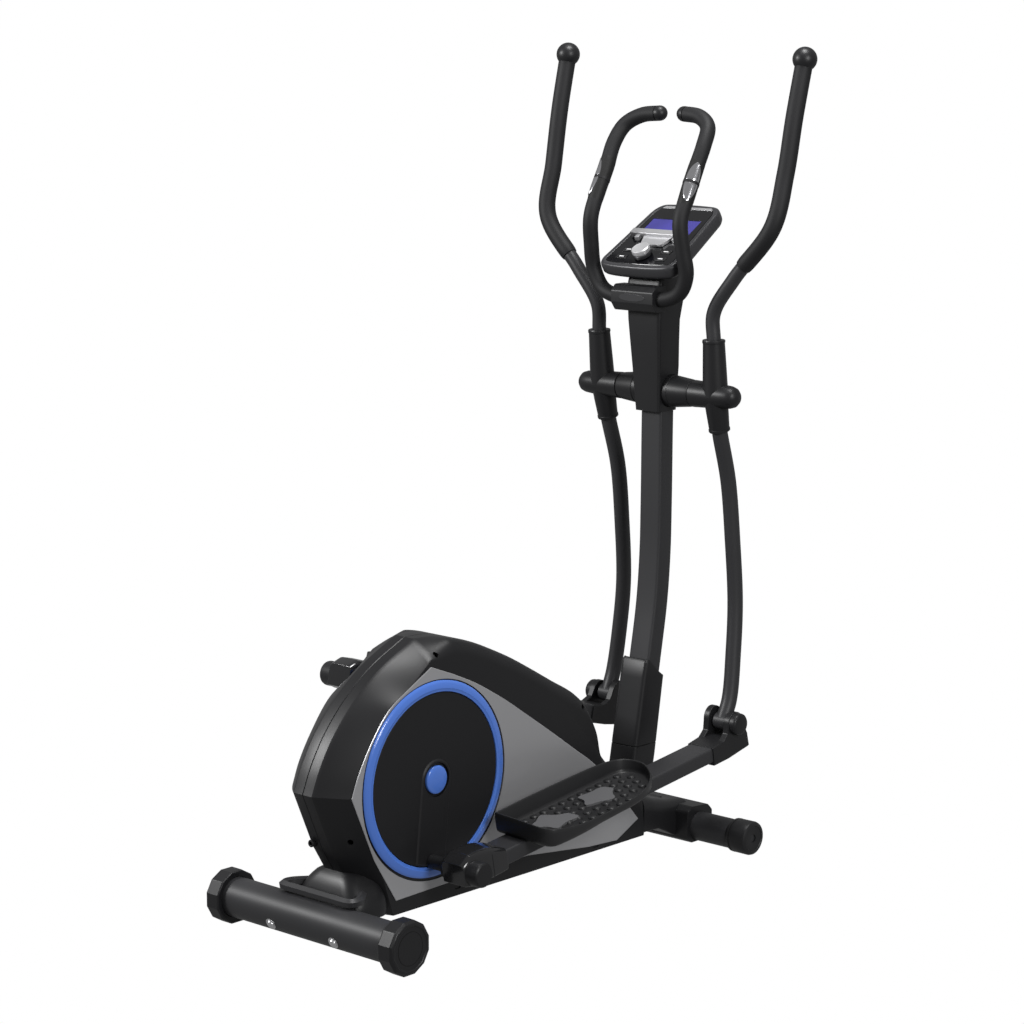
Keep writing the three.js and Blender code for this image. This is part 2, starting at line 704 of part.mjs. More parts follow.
function crankAxle() {
  return cylinder(crankAxleRadius, 8 - discFaceY, discFaceY - 8, crankX, crankZ, 20);
}

function drivePulley() {
  const profile = [
    [0, -10], [pulleyRadius, -10], [pulleyRadius, -8], [grooveRadius, -8], [grooveRadius, 8],
    [pulleyRadius, 8], [pulleyRadius, 10], [0, 10],
  ];
  const wheel = turned(profile, 28).translate(crankX, beltY, crankZ);
  return cut(wheel, cylinder(crankAxleRadius + gap, 20, 60, crankX, crankZ, 20));
}

function crankDisc(pin) {
  const face = discFaceY - 2.5;
  const disc = cylinder(discRadius, face - 5, face, crankX, crankZ, discSides);
  const wedge = sidePlate(wedgeOutline(pin), face - 1, discFaceY);
  const seat = cylinder(hubCapRadius + gap, face - 3, discFaceY + 5, crankX, crankZ, 24);
  const axle = cylinder(crankAxleRadius + gap, 60, face + 5, crankX, crankZ, 20);
  return cut(join(disc, wedge), axle, seat);
}

// The raised crank shape on a disc: an arch round the hub and a broad foot at the pin.
function wedgeOutline(pin) {
  const along = pin.clone().sub(crankCentre).normalize();
  const square = new THREE.Vector2(-along.y, along.x);
  const place = (distance, aside) => {
    const p = crankCentre.clone().addScaledVector(along, distance).addScaledVector(square, aside);
    return [p.x, p.y];
  };
  const archRadius = hubCapRadius + 12;
  const outline = [];
  for (let i = 0; i <= 8; i += 1) {
    const turn = Math.PI * (i / 8);
    outline.push(place(-archRadius * Math.sin(turn), -archRadius * Math.cos(turn)));
  }
  const foot = discRadius - 8;
  outline.push(place(foot, archRadius), place(discRadius - 1, 0), place(foot, -archRadius));
  return outline;
}

function crankRing() {
  const inner = discRadius + gap;
  const back = discFaceY - 7.5;
  const profile = [
    [inner, back], [ringRadius, back], [ringRadius, back + 2.8], [ringRadius - 5, back + 6.3],
    [inner, back + 7], [inner, back],
  ];
  return turned(profile, discSides).translate(crankX, 0, crankZ);
}

function hubCap() {
  const base = discFaceY - 5;
  const profile = [
    [0, base], [hubCapRadius, base], [hubCapRadius, discFaceY - 1], [hubCapRadius - 4, discFaceY + 1],
    [hubCapRadius / 2, discFaceY + 2.5], [0, discFaceY + 3],
  ];
  return turned(profile, 16).translate(crankX, 0, crankZ);
}

function flywheel() {
  const profile = [
    [0, -28], [flywheelAxleRadius, -28], [flywheelAxleRadius, -8], [78, -8], [78, -14],
    [flywheelRadius, -14], [flywheelRadius, 14], [78, 14], [78, 8], [14, 8], [14, 28], [26, 28], [26, 30],
    [smallGrooveRadius, 30], [smallGrooveRadius, 46], [26, 46], [26, 48], [flywheelAxleRadius, 48],
    [flywheelAxleRadius, 58], [0, 58],
  ];
  return turned(profile, 20).translate(flywheelX, 0, flywheelZ);
}

// The outline of a belt round both wheels, at the given distances from their axes.
function beltOutline(largeRadius, smallRadius) {
  const across = new THREE.Vector2(flywheelX - crankX, flywheelZ - crankZ);
  const leaves = Math.acos((largeRadius - smallRadius) / across.length());
  const outline = [];
  const addArc = (x, z, radius, from, to, steps) => {
    for (let i = 0; i <= steps; i += 1) {
      const angle = across.angle() + from + ((to - from) * i) / steps;
      outline.push([x + radius * Math.cos(angle), z + radius * Math.sin(angle)]);
    }
  };
  addArc(crankX, crankZ, largeRadius, leaves, 2 * Math.PI - leaves, 24);
  addArc(flywheelX, flywheelZ, smallRadius, -leaves, leaves, 8);
  return outline;
}

function driveBelt() {
  const shape = flatShape(beltOutline(grooveRadius + 5, smallGrooveRadius + 5));
  const inside = beltOutline(grooveRadius + 1.5, smallGrooveRadius + 1.5);
  shape.holes.push(new THREE.Path(flatShape(inside).getPoints()));
  return sidePlate(shape, beltY - beltHalfWidth, beltY + beltHalfWidth);
}

// Curved magnet bracket behind the flywheel's rim, standing on the beam.
function magneticBrake() {
  const arc = (radius) => Array.from({ length: 13 }, (_, i) => {
    const angle = radians(120 + (125 * i) / 12);
    return [flywheelX + radius * Math.cos(angle), flywheelZ + radius * Math.sin(angle)];
  });
  const outline = [...arc(flywheelRadius + 4), ...arc(flywheelRadius + 12).reverse()];
  const leg = box(430, 456, -18, 18, beamTopZ + gap, 126);
  return join(sidePlate(outline, -18, 18), leg);
}

// ---------------------------------------------------------------- swing arms, about their own axis
const upperArmLine = smoothLine([
  [-5, armY, 50], [-5, armY, 110], [-6, 148, 165], [-5, 199, 237], [5, 284, 339], [37, 291, 439],
  [64, 292, 548], [97, 292, 658],
]);
const lowerArmLine = smoothLine([
  [8, armY, -40], [12.8, armY, -72], [38.7, 148, -176], [49, 151, -302], [52, 155, -427], [39, 160, -530],
  [20, barY, -620], [0, barY, 2 - armRadius],
]);
const upperTubeRadius = 14.3;
const upperArmSteps = 17;
const tubeSides = 8;
const ballRadius = 25;
const lowerTubeRadius = 16;
const gripShare = 0.355;
const gripRadius = 17.6;

// A cone between two points.
function strut(start, end, startRadius, endRadius, sides = 12) {
  const from = point(...start);
  const axis = point(...end).sub(from);
  const geometry = new THREE.CylinderGeometry(endRadius, startRadius, axis.length(), sides);
  geometry.translate(0, axis.length() / 2, 0);
  const turn = new THREE.Quaternion().setFromUnitVectors(point(0, 1, 0), axis.normalize());
  return geometry.applyQuaternion(turn).translate(...start);
}

function swingArm() {
  const hub = turned([
    [0, 94], [27, 94], [27, 97], [25.5, 140], [23.5, 175], [21.5, 191], [15, 201], [0, 205],
  ], 18);
  const socket = strut([0, armY, 0], [-5, armY, 112.6], 26, 21.7);
  const stub = strut([0, armY, 0], [12.8, armY, -72], 24, 20.5);
  const tube = rod(lowerArmLine, lowerTubeRadius, 13, 8);
  const bushing = cylinder(17.5, barY - 15, barY + 15, 0, -armRadius, 20);
  const arm = join(hub, socket, stub, tube, bushing);
  const spindleBore = cylinder(hubSpindleRadius + gap, 80, 192 + gap, 0, 0, 20);
  const tubeBore = rod(upperArmLine, upperTubeRadius + gap, upperArmSteps, tubeSides);
  const pivotBore = cylinder(pivotPinRadius + gap, 140, 190, 0, -armRadius, 16);
  return cut(arm, spindleBore, tubeBore, pivotBore);
}

function armTube() {
  const [x, y, z] = upperArmLine.getPoint(1).toArray();
  const ball = new THREE.SphereGeometry(ballRadius, 10, 8).translate(x, y, z);
  return join(rod(upperArmLine, upperTubeRadius, upperArmSteps, tubeSides), ball);
}

function armGrip() {
  const [x, y, z] = upperArmLine.getPoint(1).toArray();
  const ball = new THREE.SphereGeometry(ballRadius + gap, 10, 8).translate(x, y, z);
  const sleeve = rod(new Stretch(upperArmLine, gripShare, 0.975), gripRadius, 12, tubeSides);
  return cut(sleeve, rod(upperArmLine, upperTubeRadius + gap, upperArmSteps, tubeSides), ball);
}

// ---------------------------------------------------------------- pedal bars, from the crank pin forward
const barSlope = radians(3.09);
const barTopAtPin = 13;              // height of the bar's top above the line from pin to pivot
const barHeight = 30;
const barHalfWidth = 30;
const pivotPinRadius = 8;
const barStart = 26;
const barFrontEnd = barLength - 32.6;

// A box laid along the bar: x from the crank pin, y across, z measured down from the bar's top face.
function alongBar(geometry) {
  return geometry.rotateY(barSlope).translate(0, 0, barTopAtPin);
}

function barBlock(grown) {
  const g = grown;
  return alongBar(box(
    barStart - g, barFrontEnd + g, barY - barHalfWidth - g, barY + barHalfWidth + g, -barHeight - g, g,
  ));
}

function pedalBar() {
  const wall = 2.5;
  const bore = alongBar(box(
    0, 900, barY - barHalfWidth + wall, barY + barHalfWidth - wall, wall - barHeight, -wall,
  ));
  return cut(barBlock(0), bore);
}

// A ring across the bar at distance x, from y0 to y1, with chamfered upper corners.
function crossRing(x, y0, y1, z0, z1, chamfer) {
  return [
    [x, y0, z0], [x, y1, z0], [x, y1, z1 - chamfer], [x, y1 - chamfer, z1], [x, y0 + chamfer, z1],
    [x, y0, z1 - chamfer],
  ];
}

// The crank bearing's housing, with its stub against the crank disc and its boot over the bar's end.
function crankHousing() {
  const barrel = turned([
    [0, discFaceY + 1], [13.5, discFaceY + 1], [13.5, 128], [22, 128], [24, 130], [24, 217],
    [21, 221], [0, 221],
  ], 20);
  const boot = loft([
    crossRing(-25, 136, 194, -19, 25, 10), crossRing(-3, 134, 196, -25, 37, 14),
    crossRing(43, 133, 197, -28, 32, 16), crossRing(89, 133, 197, -29, 13, 6),
  ]);
  return cut(join(barrel, boot), barBlock(gap));
}

function forkBracket() {
  const foot = loft([
    crossRing(barLength - 78.6, 132.5, 197.5, -62, -24, 3),
    crossRing(barLength - 32.6, 132.5, 197.5, -64, -22, 3),
    crossRing(barLength + 35.4, 134, 196, -62, -28, 6),
  ]);
  const ear = (top) => {
    const outline = [[barLength - 55.6, -30], [barLength - 28.6, -12]];
    for (let i = 0; i <= 8; i += 1) {
      const angle = Math.PI * (0.95 - (i / 8) * 0.95);
      outline.push([barLength + 24 * Math.cos(angle), 2 + top * Math.sin(angle)]);
    }
    outline.push([barLength + 33.4, -34], [barLength + 35.4, -60], [barLength - 55.6, -62]);
    return outline;
  };
  const innerEar = sidePlate(ear(28), 132.5, 146.5);
  const outerEar = sidePlate(ear(22), 183.5, 197.5);
  const knob = turned([[0, 184], [22.5, 184], [22.5, 209], [19.5, 212], [0, 212]], 24);
  knob.translate(barLength, 0, 0);
  const pin = cylinder(pivotPinRadius, 140, 190, barLength, 0, 16);
  const sweep = cylinder(27, 147.2, 182.8, barLength, 0, 20);
  return cut(join(cut(join(foot, innerEar, outerEar, knob), sweep), pin), barBlock(gap));
}

// Seen from above: distance along the bar, and distance outward from the pedal's inner edge,
// with the rim's height above the bar.
const pedalOutline = [
  [0, 0, 42], [-4, 70, 40], [-8, 130, 38], [2, 146, 36], [34, 152, 30], [90, 152, 22], [145, 147, 18],
  [193, 145, 17], [240, 143, 18], [285, 134, 20], [325, 113, 23], [354, 86, 26], [370, 56, 30], [369, 28, 32],
  [357, 9, 34], [332, 0, 36], [291, 0, 40], [219, 0, 42], [143, 0, 43], [65, 0, 43],
];
const pedalStart = 143.5;
const pedalInnerY = 120;
const pedalWall = 4;

function pedal() {
  const loop = pedalOutline.map(([x, y]) => [x, y]);
  const ring = (inset, heightAt) => insetLoop(loop, inset).map(([x, y], i) => {
    return [pedalStart + x, pedalInnerY + y, heightAt(pedalOutline[i][2])];
  });
  const tray = loft([ring(5, () => 0.6), ring(1, () => 9), ring(0, (rim) => rim)]);
  const wallRing = (extra, height) => ring(pedalWall + extra, () => height);
  const hollow = loft([wallRing(5, 7), wallRing(1, 12), wallRing(0, 90)]);
  return alongBar(cut(tray, hollow));
}

// ---------------------------------------------------------------- assembly
add(model, 'main_beam', mainBeam(), coatedSteel);
add(model, 'rear_stabiliser', rearTube(), coatedSteel);
addPair(model, 'rear_cap', rearCap(), darkPlastic);
add(model, 'lift_handle', handleRod(handleRadius), coatedSteel);
add(model, 'rear_neck_cover', neckCover(), darkPlastic);
add(model, 'front_stabiliser', frontTube(), coatedSteel);
add(model, 'front_saddle', frontSaddle(), darkPlastic);
addPair(model, 'transport_wheel', transportWheel(), darkPlastic);
addPair(model, 'housing', housingShell(), darkPlastic);
addPair(model, 'side_panel', sidePanel(), silverPlastic);
add(model, 'power_inlet', powerInlet(), darkPlastic);
add(model, 'magnetic_brake', magneticBrake(), bareSteel);
add(model, 'drive_belt', driveBelt(), rubberBlack);

add(model, 'mast', mast(), coatedSteel);
add(model, 'mast_boot', mastBoot(), darkPlastic);
add(model, 'mast_cover', mastCover(), darkPlastic);
add(model, 'clamp_cover', clampCover(), darkPlastic);
addPair(model, 'crossbar_sleeve', crossbarSleeve(), darkPlastic);
add(model, 'handlebar', handlebar(), coatedSteel);
addPair(model, 'handlebar_foam', barFoam(), foam);
addPair(model, 'pulse_sensor', pulseSensor(), chrome);

add(model, 'console_body', consoleBody(), darkPlastic);
add(model, 'console_face', consoleFace(), glossBlack);
add(model, 'console_display', consoleDisplay(), screenBlue);
add(model, 'tablet_ledge', tabletLedge(), silverPlastic);
add(model, 'console_knob', consoleKnob(), chrome);
Object.entries(buttonPlaces).forEach(([place, centre]) => {
  add(model, `button_${place}`, consoleButton(centre), glossBlack);
});

add(model, 'crank_axle', crankAxle(), bareSteel);
add(model, 'drive_pulley', drivePulley(), darkPlastic);
addPair(model, 'crank_ring', crankRing(), bluePlastic);
addPair(model, 'hub_cap', hubCap(), bluePlastic);
add(model, 'flywheel', flywheel(), bareSteel);

const armPieces = {
  swing_arm: [swingArm(), coatedSteel],
  arm_tube: [armTube(), coatedSteel],
  arm_grip: [armGrip(), foam],
};
const barPieces = {
  pedal_bar: [pedalBar(), coatedSteel],
  crank_housing: [crankHousing(), darkPlastic],
  fork_bracket: [forkBracket(), darkPlastic],
  pedal: [pedal(), darkPlastic],
};
sides.forEach(({ name, hand, pin, armTilt, barTilt }) => {
  const disc = crankDisc(pin);
  add(model, `crank_disc_${name}`, hand > 0 ? disc : mirrored(disc), darkPlastic);
  const arm = new THREE.Group();
  arm.position.set(swingX, 0, swingZ);
  arm.rotation.y = -armTilt;
  const bar = new THREE.Group();
  bar.position.set(pin.x, 0, pin.y);
  bar.rotation.y = -barTilt;
  model.add(arm, bar);
  const addPieces = (group, pieces) => Object.entries(pieces).forEach(([piece, [geometry, look]]) => {
    add(group, `${piece}_${name}`, hand > 0 ? geometry : mirrored(geometry), look);
  });
  addPieces(arm, armPieces);
  addPieces(bar, barPieces);
});

export default model;
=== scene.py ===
"""Elliptical trainer. Sizes below are in millimetres with x = 0 at the rear stabiliser's axis, x forward,
y to the user's left and z up; new_piece turns them into metres in the row frame."""

import math

import bmesh
import bpy
from mathutils import Matrix, Vector


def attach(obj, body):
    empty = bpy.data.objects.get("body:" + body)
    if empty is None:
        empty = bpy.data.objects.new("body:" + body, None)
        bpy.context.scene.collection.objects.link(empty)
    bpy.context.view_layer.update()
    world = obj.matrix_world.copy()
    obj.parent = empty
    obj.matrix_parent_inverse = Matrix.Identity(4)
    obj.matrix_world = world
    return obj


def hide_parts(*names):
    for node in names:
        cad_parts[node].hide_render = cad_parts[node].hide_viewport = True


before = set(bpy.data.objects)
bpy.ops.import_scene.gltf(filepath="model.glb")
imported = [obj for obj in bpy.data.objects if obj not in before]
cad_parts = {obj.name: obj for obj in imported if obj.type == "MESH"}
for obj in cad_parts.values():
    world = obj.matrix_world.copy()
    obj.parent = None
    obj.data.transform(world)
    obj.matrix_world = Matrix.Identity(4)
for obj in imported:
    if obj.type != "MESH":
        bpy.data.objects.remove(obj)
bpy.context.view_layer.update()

# ---- driving sizes
ORIGIN_X = 519.1
REAR_TUBE_Z = 50.0
REAR_TUBE_RADIUS = 38.0
REAR_HALF_WIDTH = 245.0
FRONT_TUBE = (999.0, 34.7)
FRONT_TUBE_RADIUS = 30.0
CRANK = (234.0, 283.3)
CRANK_RADIUS = 153.7
RIGHT_CRANK_ANGLE = math.radians(-96.1)
SWING = (969.9, 932.6)
ARM_RADIUS = 663.0
LOW_TUBE_RADIUS = 15.8
HIGH_TUBE_RADIUS = 14.2
ARM_GRIP_RADIUS = 17.4
BALL_RADIUS = 24.2
SPINDLE_RADIUS = 17.8
PIVOT_PIN_RADIUS = 8.0
BAR_LENGTH = 780.2
ARM_Y = 147.0
BAR_Y = 165.0
HALF_WIDTH = 76.0
SPINE = 23.0
SHOULDER = 48.0
DISC_FACE = 85.0
DISC_RADIUS = 164.0
RING_RADIUS = 186.0
HUB_CAP_RADIUS = 27.0
CONSOLE_TILT = math.radians(31.5)
CONSOLE_CORNER = (899.0, 1158.0)
FACE = 30.0
BAR_SLOPE = math.radians(3.09)
BAR_TOP = 13.0
PEDAL_START = 143.5
PEDAL_INNER = 120.0

TO_ROW = Matrix.Diagonal((0.001, 0.001, 0.001, 1.0)) @ Matrix.Translation((-ORIGIN_X, 0.0, 0.0))
CONSOLE = (
    Matrix.Translation((CONSOLE_CORNER[0], 0.0, CONSOLE_CORNER[1]))
    @ Matrix.Rotation(-CONSOLE_TILT, 4, "Y")
)
SIDES = {"left": 1, "right": -1}


# ---- materials
def material(
    name, colour, roughness, metallic=0.0, grain=0.0, grain_size=0.0006, coat=0.0, patchy=0.0, glow=0.0,
    shine=0.3,
):
    """A procedural finish; grain is the bump depth in millimetres and patchy varies the roughness."""
    made = bpy.data.materials.new(name)
    made.use_nodes = True
    nodes, links = made.node_tree.nodes, made.node_tree.links
    shader = nodes["Principled BSDF"]
    shader.inputs["Base Color"].default_value = (*colour, 1.0)
    shader.inputs["Roughness"].default_value = roughness
    shader.inputs["Metallic"].default_value = metallic
    shader.inputs["Coat Weight"].default_value = coat
    shader.inputs["Specular IOR Level"].default_value = shine
    shader.inputs["Emission Color"].default_value = (1.0, 1.0, 1.0, 1.0)
    shader.inputs["Emission Strength"].default_value = glow
    shader.inputs["Coat Roughness"].default_value = 0.08
    where = nodes.new("ShaderNodeTexCoord")
    if grain:
        noise = nodes.new("ShaderNodeTexNoise")
        noise.inputs["Scale"].default_value = 1.0 / grain_size
        noise.inputs["Detail"].default_value = 3.0
        bump = nodes.new("ShaderNodeBump")
        bump.inputs["Distance"].default_value = grain * 0.001
        bump.inputs["Strength"].default_value = 0.6
        links.new(where.outputs["Object"], noise.inputs["Vector"])
        links.new(noise.outputs["Fac"], bump.inputs["Height"])
        links.new(bump.outputs["Normal"], shader.inputs["Normal"])
    if patchy:
        cloud = nodes.new("ShaderNodeTexNoise")
        cloud.inputs["Scale"].default_value = 9.0
        spread = nodes.new("ShaderNodeMapRange")
        spread.inputs["To Min"].default_value = roughness - patchy
        spread.inputs["To Max"].default_value = roughness + patchy
        links.new(where.outputs["Object"], cloud.inputs["Vector"])
        links.new(cloud.outputs["Fac"], spread.inputs["Value"])
        links.new(spread.outputs["Result"], shader.inputs["Roughness"])
    return made


LOOKS = {
    "frame_paint": material(
        "powder_coat", (0.026, 0.026, 0.028), 0.45, grain=0.02, grain_size=0.0012, patchy=0.04,
    ),
    "dark_plastic": material("dark_plastic", (0.010, 0.010, 0.011), 0.4, grain=0.015, patchy=0.04),
    "housing_plastic": material("housing_plastic", (0.009, 0.009, 0.010), 0.4, grain=0.012, patchy=0.04),
    "black_plastic": material("black_plastic", (0.008, 0.008, 0.009), 0.5, grain=0.01, patchy=0.03),
    "wheel_plastic": material("wheel_plastic", (0.012, 0.012, 0.013), 0.45, grain=0.015),
    "pedal_plastic": material("pedal_plastic", (0.016, 0.016, 0.017), 0.42, grain=0.015, patchy=0.04),
    "silver_panel": material("silver_panel", (0.36, 0.36, 0.37), 0.3, metallic=0.45, grain=0.006),
    "silver_trim": material("silver_trim", (0.40, 0.40, 0.41), 0.3, metallic=0.5),
    "blue_plastic": material("blue_plastic", (0.070, 0.170, 0.560), 0.2, coat=0.4),
    "console_grey": material("console_grey", (0.038, 0.038, 0.041), 0.34, metallic=0.2, grain=0.008),
    "console_gloss": material("console_gloss", (0.003, 0.003, 0.004), 0.14, coat=0.3),
    "display_blue": material("display_blue", (0.045, 0.040, 0.250), 0.14, coat=0.5),
    "button_black": material("button_black", (0.012, 0.012, 0.013), 0.3),
    "spun_silver": material("spun_silver", (0.56, 0.56, 0.57), 0.32, metallic=0.6),
    "sensor_chrome": material("sensor_chrome", (0.52, 0.52, 0.54), 0.16, metallic=0.95),
    "grip_foam": material(
        "grip_foam", (0.007, 0.007, 0.008), 0.62, grain=0.08, grain_size=0.0011, patchy=0.05,
    ),
    "belt_rubber": material("belt_rubber", (0.010, 0.010, 0.010), 0.7),
    "bare_steel": material("bare_steel", (0.40, 0.40, 0.405), 0.35, metallic=0.95),
    "cast_flywheel": material("cast_flywheel", (0.22, 0.22, 0.225), 0.45, metallic=0.9, grain=0.02),
}
PRINT_WHITE = material("print_white", (0.75, 0.75, 0.76), 0.5)
PATCH_GREY = material("patch_grey", (0.105, 0.105, 0.109), 0.5, grain=0.01)
BOOT_GLOSS = material("boot_gloss", (0.013, 0.013, 0.014), 0.16, coat=0.5)
BEZEL = material("bezel", (0.006, 0.006, 0.006), 0.55)
# Near-black finish for seams, grooves and cut lines: painted shade standing in for the shadow inside the gaps
PAINTED_GAP_SHADE = material("painted_gap_shade", (0.002, 0.002, 0.002), 0.8)
DIMPLE_GREY = material("dimple_grey", (0.028, 0.028, 0.030), 0.35)
BOLT_STEEL = material("bolt_steel", (0.62, 0.62, 0.63), 0.3, metallic=0.9)


# ---- shapes: (corners, faces), in millimetres
def smooth_line(points, steps):
    """A centripetal Catmull-Rom line through the points, steps pieces between each pair."""
    known = [Vector(p) for p in points]
    whole = [known[0] * 2 - known[1], *known, known[-1] * 2 - known[-2]]
    line = []
    for a, b, c, d in zip(whole, whole[1:], whole[2:], whole[3:]):
        t1 = max((b - a).length, 1e-6) ** 0.5
        t2 = t1 + max((c - b).length, 1e-6) ** 0.5
        t3 = t2 + max((d - c).length, 1e-6) ** 0.5
        for i in range(steps):
            t = t1 + (t2 - t1) * i / steps
            ab = a * ((t1 - t) / t1) + b * (t / t1)
            bc = b * ((t2 - t) / (t2 - t1)) + c * ((t - t1) / (t2 - t1))
            cd = c * ((t3 - t) / (t3 - t2)) + d * ((t - t2) / (t3 - t2))
            abc = ab * ((t2 - t) / t2) + bc * (t / t2)
            bcd = bc * ((t3 - t) / (t3 - t1)) + cd * ((t - t1) / (t3 - t1))
            line.append(abc * ((t2 - t) / (t2 - t1)) + bcd * ((t - t1) / (t2 - t1)))
    return [*line, known[-1]]


def stretch(line, start, end, count=40):
    """The part of a line between two shares of its length, as evenly spaced points."""
    places = [0.0]
    for a, b in zip(line, line[1:]):
        places.append(places[-1] + (b - a).length)
    found = []
    k = 0
    for i in range(count + 1):
        want = places[-1] * (start + (end - start) * i / count)
        while k < len(line) - 2 and places[k + 1] < want:
            k += 1
        found.append(line[k].lerp(line[k + 1], (want - places[k]) / (places[k + 1] - places[k])))
    return found


def sweep(line, radius, sides=32, domes=(False, False)):
    """A round bar along a line. radius is a number, or one for each point. A dome rounds off an end."""
    radii = [radius] * len(line) if isinstance(radius, (int, float)) else list(radius)
    line = list(line)
    for end in (0, -1):
        if domes[end]:
            way = (line[end] - line[1 if end == 0 else -2]).normalized()
            middle, size = line[end], radii[end]
            for k in range(1, 7):
                turn = math.radians(15 * k - 1)
                place, small = middle + way * size * math.sin(turn), size * math.cos(turn)
                line.insert(0 if end == 0 else len(line), place)
                radii.insert(0 if end == 0 else len(radii), small)
    side = None
    rings = []
    for i, here in enumerate(line):
        tangent = (line[min(i + 1, len(line) - 1)] - line[max(i - 1, 0)]).normalized()
        if side is None:
            side = tangent.orthogonal().normalized()
        side = (side - tangent * side.dot(tangent)).normalized()
        up = tangent.cross(side)
        turns = [2 * math.pi * k / sides for k in range(sides)]
        rings.append([here + (side * math.cos(t) + up * math.sin(t)) * radii[i] for t in turns])
    return loft(rings)


def loft(rings):
    """A skin through rings of equal size, with a flat face at each end."""
    n = len(rings[0])
    corners = [Vector(p) for ring in rings for p in ring]
    faces = []
    for first in range(0, n * (len(rings) - 1), n):
        for i in range(n):
            j = (i + 1) % n
            faces.append((first + i, first + j, first + n + j, first + n + i))
    last = n * (len(rings) - 1)
    faces.append(tuple(reversed(range(n))))
    faces.append(tuple(range(last, last + n)))
    return corners, faces


def turned(profile, sides=72):
    """A turned piece about Y; the profile is [radius, y] pairs from the axis round to the axis."""
    rings = []
    for r, y in profile:
        turns = [2 * math.pi * k / sides for k in range(sides)]
        rings.append([(max(r, 0.01) * math.cos(t), y, max(r, 0.01) * math.sin(t)) for t in turns])
    return loft(rings)


def ring_of(profile, sides=128):
    """A turned ring about Y from a closed profile that stays away from the axis."""
    n = len(profile)
    corners = []
    for k in range(sides):
        t = 2 * math.pi * k / sides
        corners += [Vector((r * math.cos(t), y, r * math.sin(t))) for r, y in profile]
    faces = []
    for k in range(sides):
        a, b = k * n, ((k + 1) % sides) * n
        for i in range(n):
            j = (i + 1) % n
            faces.append((a + i, a + j, b + j, b + i))
    return corners, faces


def rod(radius, y0, y1, sides=64):
    """A round bar along Y."""
    return turned([(0, y0), (radius, y0), (radius, y1), (0, y1)], sides)


def rectangle(x0, x1, y0, y1):
    return [(x0, y0), (x1, y0), (x1, y1), (x0, y1)]


def rounded(outline, radius, steps=6):
    """A closed outline with every corner rounded; radius is a number, or one for each corner."""
    radii = [radius] * len(outline) if isinstance(radius, (int, float)) else radius
    found = []
    for i, corner in enumerate(outline):
        here = Vector(corner)
        back = Vector(outline[i - 1]) - here
        on = Vector(outline[(i + 1) % len(outline)]) - here
        half = back.angle(on) / 2
        reach = min(radii[i] / max(math.tan(half), 1e-3), 0.48 * back.length, 0.48 * on.length)
        a, b = here + back.normalized() * reach, here + on.normalized() * reach
        for k in range(steps + 1):
            t = k / steps
            found.append(a * (1 - t) ** 2 + here * 2 * t * (1 - t) + b * t * t)
    return [(p[0], p[1]) for p in found]


def side_plate(outline, y0, y1):
    """An outline in X and Z, from y0 to y1."""
    return loft([[(x, y, z) for x, z in outline] for y in (y0, y1)])


def floor_plate(outline, z0, z1):
    """An outline in X and Y, from z0 to z1."""
    return loft([[(x, y, z) for x, y in outline] for z in (z0, z1)])


def box(x0, x1, y0, y1, z0, z1):
    return side_plate(rectangle(x0, x1, z0, z1), y0, y1)


def ball(centre, radius):
    profile = [(radius * math.sin(math.pi * k / 20), -radius * math.cos(math.pi * k / 20)) for k in range(21)]
    corners, faces = turned(profile, 40)
    return [c + Vector(centre) for c in corners], faces


def turned_up(profile, sides=64):
    """A turned piece about Z."""
    return moved(turned(profile, sides), Matrix.Rotation(math.pi / 2, 4, "X"))


def moved(shape, matrix):
    return [matrix @ Vector(c) for c in shape[0]], shape[1]


def shifted(shape, x=0.0, y=0.0, z=0.0):
    return moved(shape, Matrix.Translation((x, y, z)))


def together(*shapes):
    corners, faces = [], []
    for some_corners, some_faces in shapes:
        start = len(corners)
        corners += some_corners
        faces += [tuple(i + start for i in face) for face in some_faces]
    return corners, faces


def inset_loop(outline, distance):
    """Every edge of a closed outline moved inward by the same distance."""
    area = sum(a[0] * b[1] - b[0] * a[1] for a, b in zip(outline, outline[1:] + outline[:1]))
    side = math.copysign(distance, area)
    found = []
    for i, corner in enumerate(outline):
        here = Vector(corner)
        arrive = (here - Vector(outline[i - 1])).normalized()
        leave = (Vector(outline[(i + 1) % len(outline)]) - here).normalized()
        across = Vector((-arrive.y - leave.y, arrive.x + leave.x)).normalized()
        share = max(0.4, across.x * -arrive.y + across.y * arrive.x)
        found.append((here.x + across.x * side / share, here.y + across.y * side / share))
    return found


# ---- pieces
def plain_object(name, shape, matrix=Matrix()):
    mesh = bpy.data.meshes.new(name)
    mesh.from_pydata([matrix @ Vector(c) for c in shape[0]], [], shape[1])
    made = bmesh.new()
    made.from_mesh(mesh)
    bmesh.ops.recalc_face_normals(made, faces=made.faces)
    made.to_mesh(mesh)
    made.free()
    thing = bpy.data.objects.new(name, mesh)
    bpy.context.scene.collection.objects.link(thing)
    return thing


def carve(thing, cutters):
    """Cuts the cutters' shapes out of a piece."""
    for cutter in cutters:
        change = thing.modifiers.new("cut", "BOOLEAN")
        change.operation = "DIFFERENCE"
        change.solver = "EXACT"
        change.object = cutter
    bpy.context.view_layer.update()
    whole = thing.evaluated_get(bpy.context.evaluated_depsgraph_get())
    result = bpy.data.meshes.new_from_object(whole)
    thing.modifiers.clear()
    thing.data = result
    for cutter in cutters:
        bpy.data.objects.remove(cutter)


